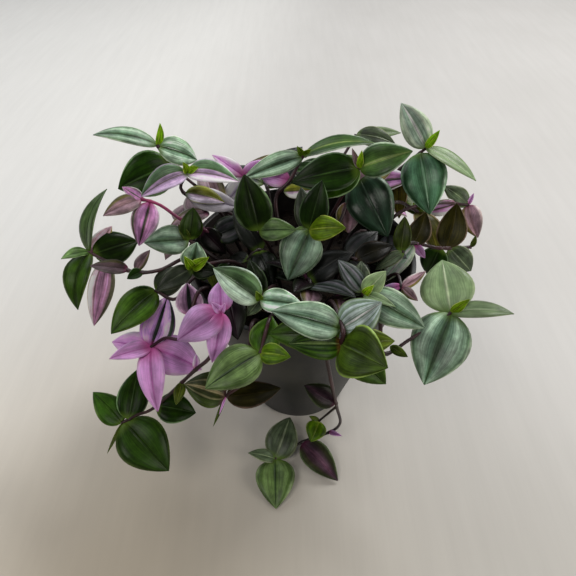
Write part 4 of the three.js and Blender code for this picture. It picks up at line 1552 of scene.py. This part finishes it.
def coat(piece: bpy.types.Object, *materials: bpy.types.Material) -> None:
    """Gives a piece its materials in place of any others.

    Args:
        piece: The piece.
        *materials: Its materials, in the order of its slots.
    """
    piece.data.materials.clear()
    for material in materials:
        piece.data.materials.append(material)


def merged(parts: Sequence[bpy.types.Object], name: str) -> bpy.types.Object:
    """One object from several, under a name.

    Args:
        parts: The objects.
        name: Name of the whole.

    Returns:
        The whole.
    """
    deselect()
    for part in parts:
        part.select_set(True)
    bpy.context.view_layer.objects.active = parts[0]
    if len(parts) > 1:
        bpy.ops.object.join()
    whole = bpy.context.object
    whole.name = name
    whole.data.name = name
    return whole


def hand_over(piece: bpy.types.Object, node: str) -> None:
    """Lets a piece stand for a plain solid: hangs it under the root body and hides the solid.

    Args:
        piece: The finished piece.
        node: Name of the plain solid.
    """
    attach(piece, "root")
    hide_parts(node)
    log.info("%s stands for %s: %d faces", piece.name, node, len(piece.data.polygons))


def wall_radius(z: float) -> float:
    """Outer radius of the pot's tapered wall at a height, in millimetres."""
    return POT_FOOT_RADIUS + (POT_RIM_RADIUS - POT_FOOT_RADIUS) * z / POT_HEIGHT


@dataclass
class Pot:
    """Tapered nursery pot with a rim band. All sizes are in millimetres."""

    sides: int = 128
    floor: float = 2.4
    foot_curve: float = 1.2
    foot_rise: float = 0.6
    wall_start: float = 2.0
    band_slope: float = 1.0
    rim_drop: float = 0.1
    rim_curve: float = 0.5
    edge: float = 0.35

    def profile(self) -> list[tuple[float, float]]:
        """Radius and height of each ring after the first, up the outside and down the inside.

        Returns:
            Pairs of a radius and a height, in millimetres.
        """
        band = POT_HEIGHT - RIM_BAND_HEIGHT
        outer = POT_RIM_RADIUS + RIM_BAND_STEP
        inner = POT_RIM_RADIUS - POT_WALL
        return [
            (POT_FOOT_RADIUS, self.foot_rise),
            (wall_radius(self.wall_start), self.wall_start),
            (wall_radius(band * 0.5), band * 0.5),
            (wall_radius(band), band),
            (wall_radius(band) + RIM_BAND_STEP, band + self.band_slope),
            (outer, POT_HEIGHT - self.rim_drop),
            (outer - self.rim_curve, POT_HEIGHT),
            (inner + self.rim_curve, POT_HEIGHT),
            (inner, POT_HEIGHT - self.rim_curve),
            (wall_radius(SOIL_LEVEL) - POT_WALL, SOIL_LEVEL),
            (wall_radius(self.floor) - POT_WALL, self.floor),
        ]

    def build(self) -> bpy.types.Object:
        """The pot as one closed piece.

        Returns:
            The piece.
        """
        deselect()
        radius, height = POT_FOOT_RADIUS - self.foot_curve, 0.0
        bpy.ops.mesh.primitive_circle_add(vertices=self.sides, radius=radius * MM,
                                          fill_type="NGON")
        piece = bpy.context.object
        edit_all()
        bpy.ops.mesh.flip_normals()
        for new_radius, new_height in self.profile():
            draw_up(new_radius / radius, new_height - height)
            radius, height = new_radius, new_height
        close_edit()
        modify(piece, "edges", "BEVEL", width=self.edge * MM, segments=2, limit_method="ANGLE",
               angle_limit=math.radians(30))
        bpy.ops.object.shade_smooth_by_angle(angle=math.radians(35))
        return piece

    def dress(self, piece: bpy.types.Object) -> None:
        """Gives the pot its name and finish and lets it stand for its plain solid.

        Args:
            piece: The pot.
        """
        piece.name = "nursery_pot"
        piece.data.name = piece.name
        coat(piece, PotFinish().material())
        hand_over(piece, "pot")


@dataclass
class Soil:
    """Potting mix with a rough top and loose crumbs. All sizes are in millimetres."""

    inset: float = 2.3
    floor: float = 2.4
    bottom: float = 2.6
    rings: int = 22
    sides: int = 72
    still_edge: float = 1.0
    lump_size: float = 8.0
    lump_height: float = 5.0
    lump_level: float = 0.6
    crumbs: int = 160
    crumb_sizes: tuple[float, float] = (0.6, 2.4)
    crumb_spread: float = 0.96
    crumb_sink: float = 0.2
    seed: int = 12

    @property
    def radius(self) -> float:
        """Radius of the top."""
        return wall_radius(SOIL_LEVEL) - self.inset

    def bed(self) -> bpy.types.Object:
        """The mix as one closed piece with a rough top.

        Returns:
            The piece.
        """
        deselect()
        low = wall_radius(self.floor) - self.inset
        bpy.ops.mesh.primitive_circle_add(vertices=self.sides, radius=low * MM, fill_type="NGON",
                                          location=(0.0, 0.0, self.bottom * MM))
        piece = bpy.context.object
        bpy.ops.object.transform_apply(location=True)
        edit_all()
        radius = self.radius
        draw_up(radius / low, SOIL_LEVEL - self.bottom)
        for ring in range(1, self.rings):
            inner = self.radius * (1 - ring / self.rings)
            bpy.ops.mesh.inset(thickness=(radius - inner) * MM * math.cos(math.pi / self.sides))
            radius = inner
        close_edit()
        group = piece.vertex_groups.new(name="top")
        edge, mid_height = (self.radius - self.still_edge) * MM, SOIL_LEVEL / 2 * MM
        top = [v.index for v in piece.data.vertices
               if v.co.z > mid_height and v.co.xy.length < edge]
        group.add(top, 1.0, "REPLACE")
        texture = bpy.data.textures.new("lumps", "CLOUDS")
        texture.noise_scale = self.lump_size * MM
        modify(piece, "lumps", "DISPLACE", texture=texture, vertex_group=group.name,
               direction="Z", strength=self.lump_height * MM, mid_level=self.lump_level)
        bpy.data.textures.remove(texture)
        bpy.ops.object.shade_smooth_by_angle(angle=math.radians(50))
        return piece

    def loose_crumbs(self) -> list[bpy.types.Object]:
        """Crumbs sunk in the top, each a turned and stretched copy of one.

        Returns:
            The crumbs.
        """
        deselect()
        dice = random.Random(self.seed)
        bpy.ops.mesh.primitive_ico_sphere_add(subdivisions=1, radius=1.0 * MM)
        crumb = bpy.context.object
        copies = []
        for _ in range(self.crumbs):
            turn = dice.uniform(0, math.tau)
            out = self.radius * math.sqrt(dice.random()) * self.crumb_spread
            size = [dice.uniform(*self.crumb_sizes) for _ in range(3)]
            spin = (Matrix.Rotation(dice.uniform(0, math.tau), 4, "Z")
                    @ Matrix.Rotation(dice.uniform(0, 1), 4, "X"))
            place = spot(out * math.cos(turn), out * math.sin(turn), SOIL_LEVEL - self.crumb_sink)
            copy = placed("crumb", crumb.data.copy())
            copy.data.transform(Matrix.Translation(place * MM) @ spin
                                @ Matrix.Diagonal((*size, 1.0)))
            copies.append(copy)
        bpy.data.objects.remove(crumb)
        return copies

    def build(self) -> bpy.types.Object:
        """The bed and its crumbs as one piece."""
        return merged([self.bed(), *self.loose_crumbs()], "soil_bed")

    def dress(self, piece: bpy.types.Object) -> None:
        """Gives the mix its finish and lets it stand for its plain solid."""
        coat(piece, SoilFinish().material())
        hand_over(piece, "soil")


@dataclass
class BladePattern:
    """Flat unit leaf that every leaf is bent from: x runs across, y from root to tip."""

    across: int = 8
    along: int = 16
    even: float = 0.35

    def build(self) -> bpy.types.Object:
        """The unit leaf as a closed slab one unit thick, pinched at both ends.

        Returns:
            The unit leaf.
        """
        deselect()
        bpy.ops.mesh.primitive_grid_add(x_subdivisions=self.across, y_subdivisions=self.along,
                                        size=2.0)
        blade = bpy.context.object
        mesh = blade.data
        for vertex in mesh.vertices:
            share = (vertex.co.y + 1) / 2
            eased = (1 - math.cos(math.pi * share)) / 2
            vertex.co.y = self.even * share + (1 - self.even) * eased
        for end in (0.0, 1.0):
            pick(blade, lambda co, end=end: abs(co.y - end) < 1e-5)
            bpy.ops.mesh.merge(type="CENTER")
        bpy.ops.object.mode_set(mode="OBJECT")
        modify(blade, "thickness", "SOLIDIFY", thickness=1.0, offset=0.0)
        layer = mesh.uv_layers[0]
        layer.name = "UVMap"
        for loop in mesh.loops:
            co = mesh.vertices[loop.vertex_index].co
            layer.data[loop.index].uv = ((co.x + 1) / 2, co.y)
        for face in mesh.polygons:
            face.material_index = 1 if face.normal.z < -0.5 else 0
            face.use_smooth = True
        return blade


@dataclass
class Grower:
    """Makes the finished leaves and stems.

    A leaf's puff, and the most that its edges droop and wave, are shares of its half width.
    Its thickness and the steps and reach along a stem are in millimetres.
    """

    puff: float = 0.16
    most_droop: float = 0.16
    most_wave: float = 0.05
    waves: float = 7.0
    wave_lag: float = 0.7
    thickness: float = 0.7
    edge_thinning: float = 0.6
    step: float = 3.0
    taper: float = 0.3
    joint_step: float = 1.2
    joint_reach: float = 1.4
    joint_swell: float = 0.28
    root_swell: float = 1.1
    roundness: int = 2
    shades: tuple[float, float] = (0.92, 1.08)
    seed: int = 31

    def __post_init__(self) -> None:
        """Makes what is copied and the materials."""
        self.pattern = BladePattern().build()
        self.unit = np.array([v.co for v in self.pattern.data.vertices], float)
        self.faces = {finish.tone: (finish.top(), finish.beneath()) for finish in LEAF_FINISHES}
        self.barks = {finish.bark: finish.material() for finish in BARK_FINISHES}
        self.dice = random.Random(self.seed)

    def rise(self, leaf: Leaf, half: np.ndarray) -> np.ndarray:
        """Height of each point of a leaf over its straight line, in millimetres.

        Args:
            leaf: The leaf's form.
            half: Half width of the blade at each point.

        Returns:
            The heights.
        """
        s, t, level = self.unit.T
        out = np.abs(s)
        wave = self.dice.uniform(0.0, self.most_wave)
        phase = self.dice.uniform(0.0, math.tau)
        droop = self.dice.uniform(0.0, self.most_droop)
        rise = 4 * leaf.arch * leaf.length * t * (1 - t)
        rise += half * out * math.sin(math.radians(leaf.fold))
        if not leaf.young:
            rise += self.puff * half * out * (1 - out)
            rise -= droop * half * s**4
            turns = self.waves * t + phase + np.sign(s) * self.wave_lag
            rise += wave * half * out**2 * np.sin(turns)
        return rise + level * self.thickness * (1 - self.edge_thinning * s**4)

    def leaf(self, leaf: Leaf) -> bpy.types.Object:
        """One finished leaf.

        Args:
            leaf: Its place and form.

        Returns:
            A new object with its own mesh.
        """
        s, t, _ = self.unit.T
        half = 0.5 * leaf.width * half_width(np.clip(t, 0.0, 1.0))
        spread = s * half * math.cos(math.radians(leaf.fold))
        places = (
            np.array(leaf.base)
            + np.outer(t * leaf.length, leaf.axis)
            + np.outer(spread, leaf.normal.cross(leaf.axis))
            + np.outer(self.rise(leaf, half), leaf.normal)
        )
        mesh = self.pattern.data.copy()
        mesh.vertices.foreach_set("co", (places * MM).ravel())
        # The shade carries painted light and painted shade along with the leaf's own tone and a
        # random spread
        tint, shade = self.dice.random(), leaf.shade * self.dice.uniform(*self.shades)
        for name, value in (("tint", tint), ("shade", shade)):
            layer = mesh.attributes.new(name, "FLOAT", "POINT")
            layer.data.foreach_set("value", np.full(len(places), value))
        if leaf.mirrored:
            layer = mesh.uv_layers["UVMap"].data
            flat = np.empty(len(layer) * 2)
            layer.foreach_get("uv", flat)
            flat[::2] = 1 - flat[::2]
            layer.foreach_set("uv", flat)
        made = placed("leaf", mesh)
        coat(made, *self.faces[leaf.tone])
        return made

    def rows(self, twig: Twig, rooted: bool) -> list[tuple[Vector, float]]:
        """Places and radii along a stem, swollen where leaves grow.

        Args:
            twig: The run of stem.
            rooted: Whether it starts in the soil.

        Returns:
            The rows from the root on, in millimetres.
        """
        run = twig.run
        joints = [run.length_at(node) for node in twig.nodes]
        marks = set(np.linspace(0.0, run.length, max(8, int(run.length / self.step))))
        for joint in joints:
            marks |= {min(run.length, max(0.0, joint + side * self.joint_step))
                      for side in (-1, 0, 1)}
        rows = []
        for mark in sorted(marks):
            swell = max((math.exp(-((mark - joint) / self.joint_reach) ** 2)
                         for joint in joints), default=0.0)
            thin = 1 - self.taper * mark / run.length
            rows.append((run.point(run.share_at(mark)),
                         twig.radius * (thin + self.joint_swell * swell)))
        if rooted:
            root = rows[0][0]
            deep = spot(root.x, root.y, SOIL_LEVEL - SOIL_DEPTH)
            rows.insert(0, (deep, twig.radius * self.root_swell))
        return rows

    def stem(self, twig: Twig, bark: Bark, rooted: bool) -> bpy.types.Object:
        """Round stem, swollen at the places where leaves grow.

        Args:
            twig: The run of stem.
            bark: Its look.
            rooted: Whether it starts in the soil.

        Returns:
            A new object.
        """
        deselect()
        rows = self.rows(twig, rooted)
        bpy.ops.curve.primitive_bezier_curve_add()
        curve = bpy.context.object.data
        curve.splines.clear()
        line = curve.splines.new("POLY")
        line.points.add(len(rows) - 1)
        for point, (place, radius) in zip(line.points, rows):
            point.co = (*(place * MM), 1.0)
            point.radius = radius
        curve.bevel_depth = MM
        curve.bevel_resolution = self.roundness
        curve.use_fill_caps = True
        bpy.ops.object.convert(target="MESH")
        made = bpy.context.object
        edit_all()
        bpy.ops.mesh.remove_doubles(threshold=0.00001)
        close_edit()
        bpy.ops.object.shade_smooth_by_angle(angle=math.radians(60))
        coat(made, self.barks[bark])
        return made

    def grow(self, stem: LeafyStem) -> bpy.types.Object:
        """Finished leafy stem, as one piece that stands for its plain solid.

        Args:
            stem: The stem with its twigs and leaves.

        Returns:
            The piece.
        """
        parts = [self.stem(twig, stem.bark, i == 0) for i, twig in enumerate(stem.twigs)]
        parts += [self.leaf(leaf) for leaf in stem.leaves]
        piece = merged(parts, f"growth_{stem.name}")
        hand_over(piece, stem.node)
        return piece

    def clear(self) -> None:
        """Removes the unit leaf."""
        bpy.data.objects.remove(self.pattern)


class Lamp(NamedTuple):
    """Soft square lamp: its place and width in metres, its power in watts and its colour."""

    name: str
    place: tuple[float, float, float]
    size: float
    power: float
    colour: tuple[float, float, float]


# Daylight from behind on the right, and a soft room all round
LAMPS = (
    Lamp("window", (0.95, 1.15, 1.6), 0.7, 29.0, (1.0, 0.99, 0.97)),
    Lamp("sky", (-0.9, 0.9, 1.4), 1.2, 10.0, (0.95, 0.98, 1.0)),
    Lamp("room", (1.1, -0.7, 0.7), 0.7, 6.5, (1.0, 0.95, 0.87)),
    Lamp("front", (-0.7, -0.8, 1.4), 0.7, 7.5, (1.0, 0.96, 0.9)),
)


@dataclass
class Studio:
    """Floor, light and camera."""

    floor_size: float = 5.0
    lens: float = 30.0
    sensor: float = 36.0
    air: tuple[float, float, float, float] = (0.95, 0.97, 1.0, 1.0)
    air_strength: float = 0.13
    aim: tuple[float, float, float] = (0.0, 0.0, 0.1)

    def floor(self) -> None:
        """Plain pale floor that the pot stands on."""
        deselect()
        bpy.ops.mesh.primitive_plane_add(size=self.floor_size)
        floor = bpy.context.object
        floor.name = "floor"
        coat(floor, FloorFinish().material())

    def lights(self) -> None:
        """The lamps, which face the plant, and the light of the air."""
        for lamp in LAMPS:
            data = bpy.data.lights.new(lamp.name, "AREA")
            data.size = lamp.size
            data.energy = lamp.power
            data.color = lamp.colour
            made = placed(lamp.name, data)
            made.location = lamp.place
            way = Vector(lamp.place) - Vector(self.aim)
            made.rotation_euler = way.to_track_quat("Z", "Y").to_euler()
        world = bpy.data.worlds.new("room")
        world.use_nodes = True
        back = world.node_tree.nodes["Background"]
        back.inputs[0].default_value = self.air
        back.inputs[1].default_value = self.air_strength
        bpy.context.scene.world = world

    def camera(self) -> None:
        """Camera at the place that the picture is taken from."""
        data = bpy.data.cameras.new("camera")
        data.lens = self.lens
        data.sensor_width = self.sensor
        data.dof.use_dof = False
        camera = placed("camera", data)
        camera.location = EYE * MM
        camera.rotation_euler = (math.radians(EYE_TILT), 0.0, 0.0)
        bpy.context.scene.camera = camera

    def build(self) -> None:
        """Sets up the floor, the light and the camera."""
        self.floor()
        self.lights()
        self.camera()
        bpy.context.scene.view_settings.view_transform = "Standard"


def main() -> None:
    """Builds the finished pieces in order."""
    logging.basicConfig(level=logging.INFO, format="%(message)s")
    Studio().build()
    for maker in (Pot(), Soil()):
        maker.dress(maker.build())
    grower = Grower()
    stems = grown_stems()
    for stem in stems:
        grower.grow(stem)
    grower.clear()
    log.info("%d stems with %d leaves", len(stems), sum(len(stem.leaves) for stem in stems))
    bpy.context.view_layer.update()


if __name__ == "__main__":
    main()
